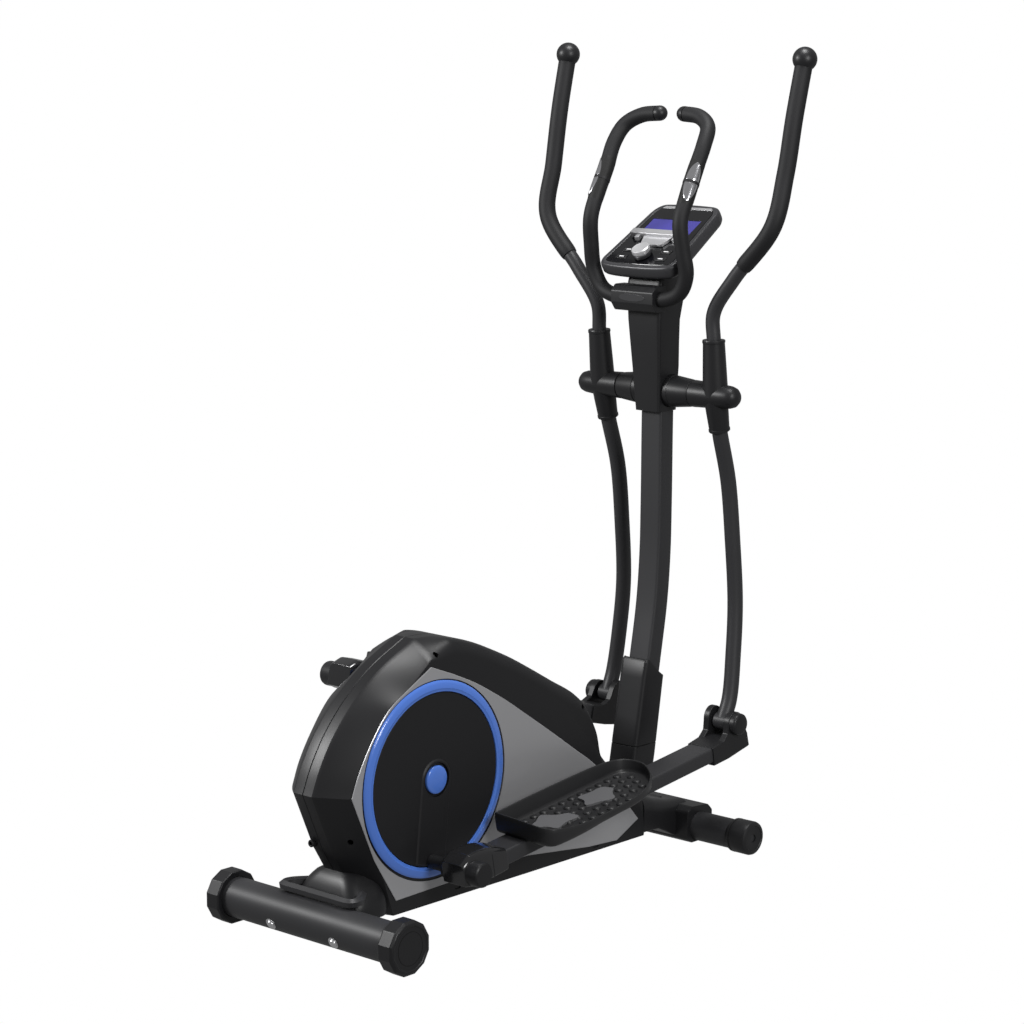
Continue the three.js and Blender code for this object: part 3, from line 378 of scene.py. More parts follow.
def new_piece(
    name, shape, slot, body, nodes=(), place=Matrix(), hand=1, bevel=0.0, crease=32.0, cuts=(), look=None,
):
    """Makes a piece from a shape drawn for the left side.

    place puts it in the machine, hand -1 mirrors it, and crease is the angle from which an edge stays sharp.
    """
    matrix = TO_ROW @ place @ Matrix.Diagonal((1.0, hand, 1.0, 1.0))
    piece = plain_object(name, shape, matrix)
    if cuts:
        carve(piece, [plain_object("cutter", cut, matrix) for cut in cuts])
    mesh = piece.data
    mesh.shade_smooth()
    edit = bmesh.new()
    edit.from_mesh(mesh)
    for edge in edit.edges:
        edge.smooth = len(edge.link_faces) == 2 and edge.calc_face_angle(0.0) < math.radians(crease)
    edit.to_mesh(mesh)
    edit.free()
    if bevel:
        soften = piece.modifiers.new("soft edges", "BEVEL")
        soften.width = bevel * 0.001
        soften.segments = 2
        soften.limit_method = "ANGLE"
        soften.angle_limit = math.radians(30.0)
        soften.harden_normals = True
    mesh.materials.clear()
    mesh.materials.append(look or LOOKS[slot])
    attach(piece, body)
    if nodes:
        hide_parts(*nodes)
    return piece


def new_pair(name, shape, slot, body, **more):
    """A left piece and its mirror image. {side} in a name stands for left or right."""
    nodes = more.pop("nodes", ())
    return [
        new_piece(
            f"{name}_{side}_v", shape, slot, body.format(side=side),
            nodes=[n.format(side=side) for n in nodes], hand=hand, **more,
        )
        for side, hand in SIDES.items()
    ]


# ---- linkage at rest
def crank_pin(angle):
    return Vector((CRANK[0] + CRANK_RADIUS * math.cos(angle), CRANK[1] + CRANK_RADIUS * math.sin(angle)))


def linkage(angle):
    """Placing matrices of the swing arm and the pedal bar on one side."""
    pin = crank_pin(angle)
    across = Vector(SWING) - pin
    reach = across.length
    along = (BAR_LENGTH ** 2 - ARM_RADIUS ** 2 + reach ** 2) / (2 * reach)
    aside = math.sqrt(BAR_LENGTH ** 2 - along ** 2)
    unit = across.normalized()
    pivot = pin + unit * along + Vector((unit.y, -unit.x)) * aside
    arm_tilt = math.atan2(pivot.x - SWING[0], SWING[1] - pivot.y)
    bar_tilt = math.atan2(pivot.y - pin.y, pivot.x - pin.x)
    arm = Matrix.Translation((SWING[0], 0.0, SWING[1])) @ Matrix.Rotation(-arm_tilt, 4, "Y")
    bar = Matrix.Translation((pin.x, 0.0, pin.y)) @ Matrix.Rotation(-bar_tilt, 4, "Y")
    return arm, bar


PLACES = {"left": linkage(RIGHT_CRANK_ANGLE + math.pi), "right": linkage(RIGHT_CRANK_ANGLE)}


# ---- floor frame
def paint_hidden_nodes():
    """The pieces inside the covers keep their plain shape and get a finish."""
    hidden = {
        "main_beam": "frame_paint", "magnetic_brake": "bare_steel", "drive_belt": "belt_rubber",
        "crank_axle": "bare_steel", "drive_pulley": "black_plastic", "flywheel": "cast_flywheel",
    }
    for node, slot in hidden.items():
        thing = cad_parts[node]
        thing.data.materials.clear()
        thing.data.materials.append(LOOKS[slot])


def rear_foot():
    length = REAR_HALF_WIDTH - 9
    tube = rod(REAR_TUBE_RADIUS, -length, length, 96)
    new_piece("rear_stabiliser_v", shifted(tube, z=REAR_TUBE_Z), "frame_paint", "frame", ["rear_stabiliser"])
    edge = REAR_HALF_WIDTH
    inner = edge - 36
    sides = 12
    outer = REAR_TUBE_Z / math.cos(math.pi / sides)

    def facets(radius, y):
        turns = [2 * math.pi * (k + 0.5) / sides for k in range(sides)]
        return [(radius * math.sin(t), y, radius * math.cos(t)) for t in turns]

    steps = [
        (9, inner + 2), (2, inner), (0, inner + 3), (0, edge - 5), (4, edge - 1), (9, edge), (11, edge - 2),
    ]
    cap = loft([facets(outer - step, y) for step, y in steps])
    bore = rod(REAR_TUBE_RADIUS + 0.3, inner - 4, length + 1)
    new_pair("rear_cap", shifted(cap, z=REAR_TUBE_Z), "dark_plastic", "frame", nodes=["rear_cap_{side}"],
             bevel=1.2, crease=20, cuts=[shifted(bore, z=REAR_TUBE_Z)])
    disc = rod(30, 0, 0.5)
    cut_line = ring_of([(30.4, -0.4), (31.4, -0.4), (31.4, 0.15), (30.4, 0.15)], 72)
    cut_line = shifted(cut_line, 0, edge - 2, REAR_TUBE_Z)
    disc = shifted(disc, 0, edge - 2.3, REAR_TUBE_Z)
    for side, hand in SIDES.items():
        # The cut line is a near-black ring: painted shade in place of the groove's shadow
        new_piece(f"rear_cap_line_{side}_v", cut_line, "black_plastic", "frame", hand=hand, look=PAINTED_GAP_SHADE)
        new_piece(f"rear_cap_disc_{side}_v", disc, "dark_plastic", "frame", hand=hand)
    head = turned([(0, 0), (8.4, 0), (8.4, 1.0), (7.4, 3.0), (4, 4.4), (0, 4.9)], 32)
    washer = rod(11.5, 0, 1.2, 32)
    on_tube = (
        Matrix.Translation((0, 0, REAR_TUBE_Z)) @ Matrix.Rotation(math.radians(-116), 4, "Y")
        @ Matrix.Translation((0, 82, 37.4)) @ Matrix.Rotation(math.pi / 2, 4, "X")
    )
    bolt = moved(together(washer, shifted(head, y=1.0)), on_tube)
    new_pair("carriage_bolt", bolt, "bare_steel", "frame", look=BOLT_STEEL)


def lift_handle():
    left_half = [(2, 40), (2, 80), (5, 88), (13, 91), (27, 88), (46, 74), (62, 60)]
    right_half = [(x, -y) for x, y in reversed(left_half)]
    route = [(x, y, 99) for x, y in right_half + left_half]
    new_piece("lift_handle_v", sweep(smooth_line(route, 14), 9.4, 6), "frame_paint", "frame", ["lift_handle"],
              bevel=1.4)


def level_ring(x0, x1, half, z, c):
    """A rounded rectangle at one height, for the covers that are lofted upward."""
    return [(x, y, z) for x, y in rounded(rectangle(x0, x1, -half, half), c * 1.1, 6)]


def neck_cover():
    front = 116
    levels = [
        (23, 83, 53.5, 30), (20, 85.5, 64, 31), (19.5, 85.6, 74, 32), (21.5, 82, 87, 32),
        (25.3, 75.6, 98, 32), (29, 69, 109, 30), (34.5, 60.5, 119, 28), (40.5, 51, 128, 24),
        (49, 39.5, 134.5, 20),
    ]
    rings = [level_ring(rear, front, half, z, c) for rear, half, z, c in levels]
    room = rod(REAR_TUBE_RADIUS + 0.4, -100, 100)
    new_piece("rear_neck_v", loft(rings), "dark_plastic", "frame", ["rear_neck_cover"], bevel=1.5,
              cuts=[shifted(room, z=REAR_TUBE_Z)])


def front_foot():
    x, z = FRONT_TUBE
    tube = rod(FRONT_TUBE_RADIUS, -186, 186, 80)
    axle = rod(8, -232, 232, 32)
    new_piece("front_stabiliser_v", shifted(together(tube, axle), x, 0, z), "frame_paint", "frame",
              ["front_stabiliser"])
    profile = [
        (8.2, 187.4), (29.5, 187.4), (32.5, 188.6), (34.3, 191.5), (34.6, 230), (33.2, 234), (29.5, 236.4),
        (26, 236.9), (24.5, 235.2), (10, 235.2), (8.2, 234.6),
    ]
    groove = [(34.45, 196), (34.66, 196), (34.66, 197.4), (34.45, 197.4)]
    tyre = shifted(ring_of(profile, 80), x, 0, z)
    cut_line = shifted(ring_of(groove, 80), x, 0, z)
    for side, hand in SIDES.items():
        node = f"transport_wheel_{side}"
        new_piece(f"{node}_v", tyre, "wheel_plastic", node, [node], hand=hand)
        # The groove is a near-black ring: painted shade in place of the groove's shadow
        new_piece(f"wheel_groove_{side}_v", cut_line, "black_plastic", node, hand=hand, look=PAINTED_GAP_SHADE)


def front_saddle():
    def crossing(x, half, z0, z1, c):
        corners = rectangle(-half, half, z0, z1)
        return [(x, y, z) for y, z in rounded(corners, [3, 3, c * 1.1, c * 1.1], 6)]

    elbow = loft([
        crossing(850, 72, 47, 124, 28), crossing(876, 70.5, 46, 116, 28), crossing(900, 69, 44, 106, 26),
        crossing(925, 67, 33, 99, 24), crossing(950, 65, 20, 92, 22), crossing(976, 63.5, 13, 88, 21),
        crossing(1002, 62, 8, 84, 20),
    ])
    end_view = [
        (960, 12), (974, 4), (1024, 4), (1040, 16), (1040, 62), (1026, 76), (976, 80), (960, 70),
    ]
    block = side_plate(rounded(end_view, 9), -95.5, 95.5)
    x, z = FRONT_TUBE
    bore = shifted(rod(FRONT_TUBE_RADIUS + 0.3, -110, 110), x, 0, z)
    room = side_plate([(869, 90), (905, 200), (950, 200), (914, 90)], -27.5, 27.5)
    new_piece("front_saddle_v", elbow, "dark_plastic", "frame", ["front_saddle"], bevel=1.5,
              cuts=[bore, room])
    new_piece("front_block_v", block, "dark_plastic", "frame", bevel=3.0, cuts=[bore])


# ---- mast
MAST_LINE = [
    (883, 92.4), (898, 190), (936, 390), (955, 500), (964, 600), (966.5, 700), (968, 880), (969.9, 960),
    (972, 1140),
]


def mast():
    section = rounded(rectangle(-21, 21, -27, 27), 7, 5)
    line = smooth_line([(x, 0, z) for x, z in MAST_LINE], 6)
    rings = [[(p.x + a, b, p.z) for a, b in section] for p in line]
    new_piece("mast_v", loft(rings), "frame_paint", "frame", ["mast"])
    spindle = rod(SPINDLE_RADIUS, -191.5, 191.5, 48)
    new_piece("crossbar_spindle_v", shifted(spindle, SWING[0], 0, SWING[1]), "bare_steel", "frame")


def mast_boot():
    def ring(z, rear, front, drop, grow=0.0):
        corners = rectangle(rear - grow, front + grow, -34 - grow, 34 + grow)
        found = []
        for x, y in rounded(corners, [10, 8, 8, 10], 5):
            share = min(max((x - rear - 10) / (front - 8 - rear - 10), 0.0), 1.0)
            found.append((x, y, z - drop * share))
        return found

    lower = loft([ring(126, 849, 918, 0), ring(190, 862, 931, 0), ring(214, 866.4, 935, 0)])
    upper = loft([
        ring(215.2, 866.6, 935.2, 0), ring(352, 893, 957, 2), ring(384, 899.6, 957, 34),
        ring(389, 902, 955, 36, -1.6),
    ])
    room = [(870, 100), (896.4, 240), (928, 440), (975, 440), (941.5, 240), (914, 100)]
    new_piece("mast_boot_v", together(lower, upper), "dark_plastic", "frame", ["mast_boot"], bevel=1.4,
              cuts=[side_plate(room, -27.4, 27.4)])


def mast_cover():
    levels = [
        (934, 992, 30.5, 892, 5), (931, 993, 33, 930, 6), (928, 994, 36, 980, 6), (923.5, 991.5, 39, 1030, 7),
        (920, 990, 42, 1075, 8), (919.6, 998, 44, 1115, 8), (921, 1006, 45, 1150, 9),
        (932, 1013, 45.6, 1182, 9), (940, 1020, 46, 1212, 9),
    ]
    rings = [level_ring(*level) for level in levels]
    top = moved(box(-20, 250, -110, 110, -0.5, 90), CONSOLE)
    room = [(947.5, 880), (949.5, 1000), (951, 1140), (994, 1140), (990.5, 940), (989.4, 880)]
    sleeves = shifted(rod(33.2, -60, 60), SWING[0], 0, SWING[1])
    new_piece("mast_cover_v", loft(rings), "dark_plastic", "frame", ["mast_cover"], bevel=1.2,
              cuts=[side_plate(room, -27.3, 27.3), top, sleeves])


def clamp_cover():
    outline = [(884, 1112), (896, 1096), (926, 1096), (926, 1148), (896, 1148), (884, 1136)]
    cover = side_plate(rounded(outline, [6, 6, 2, 2, 8, 6]), -53.6, 53.6)
    room = sweep(stretch(BAR_LINE, 0.42, 0.58, 24), BAR_RADIUS + 1.2, 24)
    new_piece("clamp_cover_v", cover, "dark_plastic", "frame", ["clamp_cover"], bevel=3.0, cuts=[room])
    dimple = [(7.5 * math.cos(t), 33 * math.sin(t)) for t in [math.pi * k / 24 for k in range(48)]]
    rear = Matrix.Translation((883.7, 0, 1124)) @ Matrix.Rotation(math.radians(-90), 4, "Y")
    new_piece("clamp_dimple_v", moved(floor_plate(dimple, -1, 0.5), rear), "dark_plastic", "frame",
              look=DIMPLE_GREY, bevel=0.4)


def crossbar_sleeves():
    profile = [
        (18.2, 27.8), (32.2, 27.8), (32.2, 44), (30.9, 45), (30.9, 46.5), (31.9, 47.5), (27.8, 86),
        (26.8, 91.5), (25.4, 92.8), (18.2, 92.8),
    ]
    new_pair("crossbar_sleeve", shifted(ring_of(profile, 72), SWING[0], 0, SWING[1]), "dark_plastic", "frame",
             nodes=["crossbar_sleeve_{side}"])


# ---- fixed handlebar
HALF_BAR = [
    (908, 54, 1121), (911, 99, 1136), (908, 119, 1174), (898, 118, 1224), (893, 115, 1278), (914, 115, 1328),
    (940, 114, 1378), (964, 115, 1425), (987, 106, 1459), (1001, 74, 1478), (1006, 28, 1483),
]
BAR_LINE = smooth_line([(x, -y, z) for x, y, z in reversed(HALF_BAR)] + [(908, 0, 1119)] + HALF_BAR, 10)
BAR_RADIUS = 12.3
FOAM_RADIUS = 15.4
SENSOR_RADIUS = FOAM_RADIUS + 1.5
# Places along the bar are shares of its length, from the right end to the left.
FOAM_FROM, FOAM_TO = 0.5481, 0.9905
CAP_FROM, CAP_TO = 0.9925, 0.997
SENSOR_FROM, SENSOR_TO = 0.7675, 0.8435
BAND_FROM, BAND_TO = 0.8030, 0.8080
SENSOR_WAY = Vector((-0.78, 0.62, 0.0))


def handlebar():
    core = sweep(stretch(BAR_LINE, 0.03, 0.97, 160), BAR_RADIUS, 24)
    new_piece("handlebar_v", core, "frame_paint", "frame", ["handlebar"])
    foam_line = stretch(BAR_LINE, FOAM_FROM, FOAM_TO, 110)
    radii = [FOAM_RADIUS] * len(foam_line)
    radii[0], radii[1] = FOAM_RADIUS - 1.2, FOAM_RADIUS - 0.3
    foams = new_pair("handlebar_foam", sweep(foam_line, radii, 36), "grip_foam", "frame",
                     nodes=["handlebar_foam_{side}"])
    # The seam between foam and end cap is a near-black ring: painted shade in the gap
    seam = sweep(stretch(BAR_LINE, FOAM_TO, CAP_FROM, 4), FOAM_RADIUS - 1.2, 36)
    new_pair("handlebar_seam", seam, "black_plastic", "frame", look=PAINTED_GAP_SHADE)
    end_cap = sweep(stretch(BAR_LINE, CAP_FROM, CAP_TO, 6), FOAM_RADIUS + 0.05, 36, domes=(False, True))
    new_pair("handlebar_cap", end_cap, "dark_plastic", "frame")


def sensor_plate(start, end, narrow_first):
    """A curved chrome plate over a stretch of the grip, coming to a point at one end."""
    line = stretch(BAR_LINE, start, end, 18)
    rings = []
    for i, here in enumerate(line):
        t = i / (len(line) - 1)
        t = t if narrow_first else 1 - t
        wide = math.radians(3 + 50 * math.sin(min(1.0, t * 1.1) * math.pi / 2) ** 0.75)
        tangent = (line[min(i + 1, len(line) - 1)] - line[max(i - 1, 0)]).normalized()
        rear = (SENSOR_WAY - tangent * tangent.dot(SENSOR_WAY)).normalized()
        up = tangent.cross(rear)
        outer, inner = [], []
        for k in range(13):
            turn = wide * (k / 6 - 1)
            way = rear * math.cos(turn) + up * math.sin(turn)
            edge = 0.5 if k in (0, 12) or i in (0, len(line) - 1) else 0.0
            outer.append(here + way * (SENSOR_RADIUS - edge))
            inner.append(here + way * (FOAM_RADIUS - 0.4))
        rings.append(outer + inner[::-1])
    return loft(rings)


def pulse_sensors():
    """Two pointed chrome plates on each grip, parted by a black band."""
    overlap = 0.0002
    plates = together(
        sensor_plate(SENSOR_FROM, BAND_FROM + overlap, True),
        sensor_plate(BAND_TO - overlap, SENSOR_TO, False),
    )
    new_pair("pulse_sensor", plates, "sensor_chrome", "frame", nodes=["pulse_sensor_{side}"])
    steps = 24
    swell = [FOAM_RADIUS + 0.9 * math.sin(math.pi * min(i / steps, 1.0)) ** 0.5 for i in range(steps + 1)]
    bezel = sweep(stretch(BAR_LINE, SENSOR_FROM - 0.005, SENSOR_TO + 0.005, steps), swell, 36)
    new_pair("sensor_bezel", bezel, "black_plastic", "frame", look=BEZEL)
    band = sweep(stretch(BAR_LINE, BAND_FROM, BAND_TO, 4), SENSOR_RADIUS, 36)
    new_pair("sensor_band", band, "black_plastic", "frame")


# ---- console, drawn flat and tilted by CONSOLE
BUTTONS = {"upper_left": (58, 48), "lower_left": (34, 50), "upper_right": (58, -48), "lower_right": (34, -50)}
KNOB = (42, 0)


def console_outline():
    """The console seen from above its face: x from the user's end, y across; narrower at the far end."""
    low, high, end = 97, 80, 224
    steps = 12
    curves = [
        [(0, 0), (0, low - 16), (10, low - 8)],
        [(10, low - 8), (18, low), (32, low)],
        [(end - 40, high + 6), (end - 4, high + 2), (end - 4, high - 26)],
        [(end - 4, high - 26), (end, 0), (end - 4, 26 - high)],
        [(end - 4, 26 - high), (end - 4, -high - 2), (end - 40, -high - 6)],
        [(32, -low), (18, -low), (10, 8 - low)],
        [(10, 8 - low), (0, 16 - low), (0, 0)],
    ]
    found = []
    for a, b, c in curves:
        for k in range(steps):
            t = k / steps
            x = a[0] * (1 - t) ** 2 + b[0] * 2 * t * (1 - t) + c[0] * t * t
            y = a[1] * (1 - t) ** 2 + b[1] * 2 * t * (1 - t) + c[1] * t * t
            if not found or (Vector(found[-1]) - Vector((x, y))).length > 0.3:
                found.append((x, y))
    return found


def ringed(outline, z):
    return [(x, y, z) for x, y in outline]


def console():
    rim = console_outline()

    def levels(*steps):
        return loft([ringed(inset_loop(rim, inset), z) for inset, z in steps])

    body = levels(
        (10, 0.3), (3.5, 2.2), (0.6, 7), (0, 11), (0, 22), (0.9, 26.5), (3.2, 29.2), (5.5, 29.9),
        (11.8, 29.3), (12.6, 28.6), (12.7, 25.5),
    )
    new_piece("console_body_v", body, "console_grey", "frame", ["console_body"], place=CONSOLE, crease=50)
    smaller = Matrix.Translation((1.2, 0, 0)) @ Matrix.Diagonal((0.9905, 0.998, 1, 1))
    # The parting line is a thin near-black band: painted shade in the seam
    new_piece("console_seam_v", moved(levels((0, 12.2), (0, 13.4)), smaller), "black_plastic", "frame",
              place=CONSOLE, look=PAINTED_GAP_SHADE)
    band = floor_plate(rounded([(203, -66), (211, -58), (211, 58), (203, 66)], [2, 5, 5, 2]), 28.4, 29.9)
    new_piece("console_top_band_v", band, "silver_trim", "frame", place=CONSOLE, bevel=0.4)
    face = levels((13.0, 25.6), (13.0, 29.0), (13.6, 29.5))
    holes = [box(x - 6.5, x + 6.5, y - 13.5, y + 13.5, 25.0, 32.0) for x, y in BUTTONS.values()]
    screen_room = box(117, 167, -62, 62, 25.0, 32.0)
    pin_room = shifted(turned_up([(0, 20), (5.4, 20), (5.4, 40), (0, 40)], 32), KNOB[0], KNOB[1])
    new_piece("console_face_v", face, "console_gloss", "frame", ["console_face"], place=CONSOLE,
              cuts=[*holes, screen_room, pin_room], bevel=0.3)
    screen = floor_plate(rounded(rectangle(117.6, 166.4, -61.4, 61.4), 2), 25.6, 29.1)
    new_piece("console_display_v", screen, "display_blue", "frame", ["console_display"], place=CONSOLE,
              bevel=0.3)


def tablet_ledge():
    base = FACE + 0.4
    lip = [
        (98, base), (104, base), (104, FACE + 10), (114, FACE + 10), (114, FACE + 13), (98, FACE + 13),
    ]
    shelf = side_plate(rounded(lip, [0.4, 0.4, 1, 0.8, 1, 2], 4), -70, 70)
    bracket = floor_plate(rounded([(72, -26), (99, -36), (99, 36), (72, 26)], [5, 1, 1, 5]), base, FACE + 6)
    hooks = [box(88, 99, y - 5, y + 5, base, FACE + 9) for y in (48, -48)]
    new_piece("tablet_ledge_v", together(shelf, bracket, *hooks), "silver_trim", "frame", ["tablet_ledge"],
              place=CONSOLE, bevel=0.8)


def console_knob():
    """A grey base turning with a spun grip; the heights are above the console's face."""
    base = [(0, -2), (5, -2), (5, 1.2), (18.4, 1.2), (18.9, 2), (18.9, 7), (18, 8), (0, 8)]
    grip = [
        (0, 8), (16.4, 8), (16.4, 9.6), (18.4, 10), (18.9, 10.8), (18.9, 17), (18.2, 18.8), (16.6, 19.8),
        (14.5, 19.4), (0, 18.6),
    ]

    def above_face(profile):
        return turned_up([(r, FACE + z) for r, z in profile])

    place = CONSOLE @ Matrix.Translation((KNOB[0], KNOB[1], 0))
    new_piece("knob_base_v", above_face(base), "console_grey", "console_knob", place=place)
    new_piece("console_knob_v", above_face(grip), "spun_silver", "console_knob", ["console_knob"],
              place=place, crease=25)


def console_buttons():
    for name, (x, y) in BUTTONS.items():
        node = f"button_{name}"
        outline = rounded(rectangle(x - 5.9, x + 5.9, y - 12.9, y + 12.9), 2)
        cap = floor_plate(outline, FACE - 2.9, FACE + 1)
        new_piece(f"{node}_v", cap, "button_black", node, [node], place=CONSOLE, bevel=0.8)
        dash = box(x - 1.1, x + 1.1, y - 6, y + 6, FACE + 0.9, FACE + 1.1)
        new_piece(f"button_mark_{name}_v", dash, "button_black", node, place=CONSOLE, look=PRINT_WHITE)


# ---- drive housing
REAR_RUN = [
    ((-28, 292), (19, 288)), ((-6, 341), (36, 329)), ((28, 394), (69, 381)), ((82, 451), (116, 436)),
    ((148, 499), (173, 468)), ((237, 541), (228, 508)),
]
TOP_RUN = [
    ((237, 541), (228, 508)), ((300, 537), (307, 506)), ((360, 520), (365, 488)), ((415, 497), (420, 463)),
    ((470, 471), (474, 436)), ((527, 440), (531, 406)), ((585, 407), (588, 372)), ((648, 371), (651, 335)),
    ((678, 342), (675, 314)), ((694, 298), (695, 287)), ((712, 250), (715, 219)), ((775, 190), (775, 150)),
    ((846, 150), (840, 86)),
]
FOOT_RUN = [
    ((848, 60), (846, 54)), ((846, 46), (844, 44)), ((470, 46), (490, 44)), ((108, 46), (126, 45)),
    ((52, 128), (102, 116)), ((20, 180), (72, 170)),
]
SCREW_PLACES = ((248, 515), (658, 343))
SLOT_PLACES = ((298, 60), (696, 54))


def housing_corners():
    """Spine place, side place and share of flat bevel, all the way round the side view."""
    found = []
    for run in (REAR_RUN, TOP_RUN):
        spine = smooth_line([(a[0], 0, a[1]) for a, b in run], 8)
        side = smooth_line([(b[0], 0, b[1]) for a, b in run], 8)
        for i, (a, b) in enumerate(zip(spine[:-1], side[:-1])):
            flat = 1.0 if run is REAR_RUN else max(0.0, 1.0 - i / 7)
            found.append(((a.x, a.z), (b.x, b.z), flat))
    found.append((*TOP_RUN[-1], 0.0))
    found += [(a, b, 1.0 if a[0] < 200 else 0.0) for a, b in FOOT_RUN]
    return found


def side_share(y, flat):
    """How far the wall has come from its spine place to its side place at width y."""
    bevel = min(max((y - SPINE) / (HALF_WIDTH - SPINE), 0.0), 1.0)
    turn = min(max((y - SHOULDER) / (HALF_WIDTH - SHOULDER), 0.0), 1.0)
    quarter = 1 - math.sqrt(1 - turn * turn)
    return flat * bevel ** 1.15 + (1 - flat) * quarter


def housing_skin(inset):
    """The rings of one half from the middle out, every wall moved in by inset."""
    places = [
        0.25, 1.4, SPINE - 0.5, SPINE + 0.5, 30, 37, 43, 48, 53, 57, 61, 64.5, 67.5, 70, 72, 73.6, 74.8,
        75.5, HALF_WIDTH,
    ]
    corners = housing_corners()
    rings = []
    for y in places:
        outline = []
        for spine, side, flat in corners:
            share = side_share(y, flat)
            x = spine[0] + (side[0] - spine[0]) * share
            outline.append((x, spine[1] + (side[1] - spine[1]) * share))
        across = y * (1 - inset / HALF_WIDTH) if y > 1 else y
        extra = 0.7 if y < 1 else 0.0
        rings.append([(x, across, z) for x, z in inset_loop(outline, inset + extra)])
    return rings


def shell(outer, inner):
    """Two skins joined by a rim round the open middle."""
    n = len(outer[0])
    corners, faces = loft(outer)
    inner_corners, inner_faces = loft(inner)
    start = len(corners)
    kept = [f for f in faces if f != tuple(reversed(range(n)))]
    kept += [tuple(i + start for i in reversed(f)) for f in inner_faces if f != tuple(reversed(range(n)))]
    for i in range(n):
        j = (i + 1) % n
        kept.append((j, i, start + i, start + j))
    return corners + inner_corners, kept


def housing():
    x, z = CRANK
    axle_room = shifted(rod(24, 45, 95, 48), x, 0, z)
    screws = [shifted(rod(5, 55, 95, 24), a, 0, b) for a, b in SCREW_PLACES]
    slot = side_plate(rounded(rectangle(-8, 8, -3, 3), 2.9), 74, 95)
    slots = [shifted(slot, a, 0, b) for a, b in SLOT_PLACES]
    facing = Matrix.Translation((47, 50, 200)) @ Matrix.Rotation(math.radians(62), 4, "Z")
    rear = moved(rod(5.5, -8, 14, 24), facing)
    new_pair("housing", shell(housing_skin(0), housing_skin(3.5)), "housing_plastic", "frame",
             nodes=["housing_{side}"], crease=26, cuts=[axle_room, *screws, *slots, rear])


def side_panels():
    outline = [
        (228, 497), (171, 467), (116, 435), (69, 380), (36, 326), (20, 288), (76, 161), (132, 72), (319, 76),
        (492, 79), (673, 57), (759, 52), (825, 83), (761, 153), (692, 221), (624, 269), (559, 314),
        (499, 354), (437, 395), (392, 422), (345, 448), (287, 474),
    ]
    rear = smooth_line([(a, 0, b) for a, b in outline[:6][::-1]], 8)
    low = [Vector((a, 0, b)) for a, b in outline[6:13]]
    front = smooth_line([(a, 0, b) for a, b in outline[12:]], 6)
    loop = [(p.x, p.z) for p in [*reversed(rear), *low, *front[1:]]]
    layers = ((HALF_WIDTH + 0.2, 0.6), (HALF_WIDTH + 1.0, 0.3), (HALF_WIDTH + 1.75, 1.4))
    plate = loft([[(x, y, z) for x, z in inset_loop(loop, s)] for y, s in layers])
    hole = rod(RING_RADIUS + 4.2, HALF_WIDTH - 5, HALF_WIDTH + 5, 128)
    new_pair("side_panel", plate, "silver_panel", "frame", nodes=["side_panel_{side}"], crease=20,
             cuts=[shifted(hole, CRANK[0] + 2.5, 0, CRANK[1] - 2.5)])


def power_inlet():
    place = Matrix.Translation((32, 17, 190)) @ Matrix.Rotation(math.pi / 2, 4, "Z")
    ring = ring_of([(3.5, 0.5), (7, 0.5), (7, 24.6), (6.2, 25.6), (4.4, 25.9), (3.5, 25)], 48)
    inlet = together(ring, rod(3.5, 0.5, 12, 32))
    new_piece("power_inlet_v", moved(inlet, place), "black_plastic", "frame", ["power_inlet"])


# ---- crank
def crank_faces():
    crank_rings()
    crank_discs()
    r, top = HUB_CAP_RADIUS, DISC_FACE
    cap = turned([
        (0, top - 5), (r - 0.4, top - 5), (r - 0.2, top - 0.6), (r - 1, top + 0.6), (r - 3.4, top + 1.6),
        (r * 0.5, top + 2.3), (0, top + 2.6),
    ], 72)
    new_pair("hub_cap", shifted(cap, CRANK[0], 0, CRANK[1]), "blue_plastic", "crank",
             nodes=["hub_cap_{side}"], crease=40)


def crank_rings():
    inner, outer, back = DISC_RADIUS + 1.2, RING_RADIUS, DISC_FACE - 7.3
    ring = [
        (inner, back), (outer - 0.6, back), (outer, back + 0.6), (outer, back + 2.0),
        (outer - 1.8, back + 4.0), (outer - 5.2, back + 5.8), (inner + 6.2, back + 6.6),
        (inner + 5.4, back + 6.0), (inner + 0.6, back + 5.8), (inner, back + 5.2),
    ]
    new_pair("crank_ring", shifted(ring_of(ring, 160), CRANK[0], 0, CRANK[1]), "blue_plastic", "crank",
             nodes=["crank_ring_{side}"], crease=40)


def crank_discs():
    """Both discs with their wedges: the right side is the left one's mirror image turned half way round."""
    x, z = CRANK
    back, base = DISC_FACE - 7.3, DISC_FACE - 2.5
    disc = turned([
        (0, back), (DISC_RADIUS - 0.5, back), (DISC_RADIUS, back + 0.6), (DISC_RADIUS, base - 1),
        (DISC_RADIUS - 1, base), (0, base),
    ], 160)
    seat = shifted(rod(HUB_CAP_RADIUS + 5.5, base - 3, DISC_FACE + 5), x, 0, z)
    axle = shifted(rod(15.3, 60, base + 5, 48), x, 0, z)
    shape = wedge(crank_pin(RIGHT_CRANK_ANGLE + math.pi))
    half_turn = (
        Matrix.Translation((x, 0, z)) @ Matrix.Rotation(math.pi, 4, "Y") @ Matrix.Translation((-x, 0, -z))
    )
    for side, hand in SIDES.items():
        turn = half_turn if hand < 0 else Matrix()
        new_piece(f"crank_disc_{side}_v", shifted(disc, x, 0, z), "black_plastic", "crank",
                  [f"crank_disc_{side}"], hand=hand, cuts=[seat, axle])
        new_piece(f"crank_wedge_{side}_v", shape, "black_plastic", "crank", place=turn, hand=hand, bevel=1.6,
                  cuts=[seat])


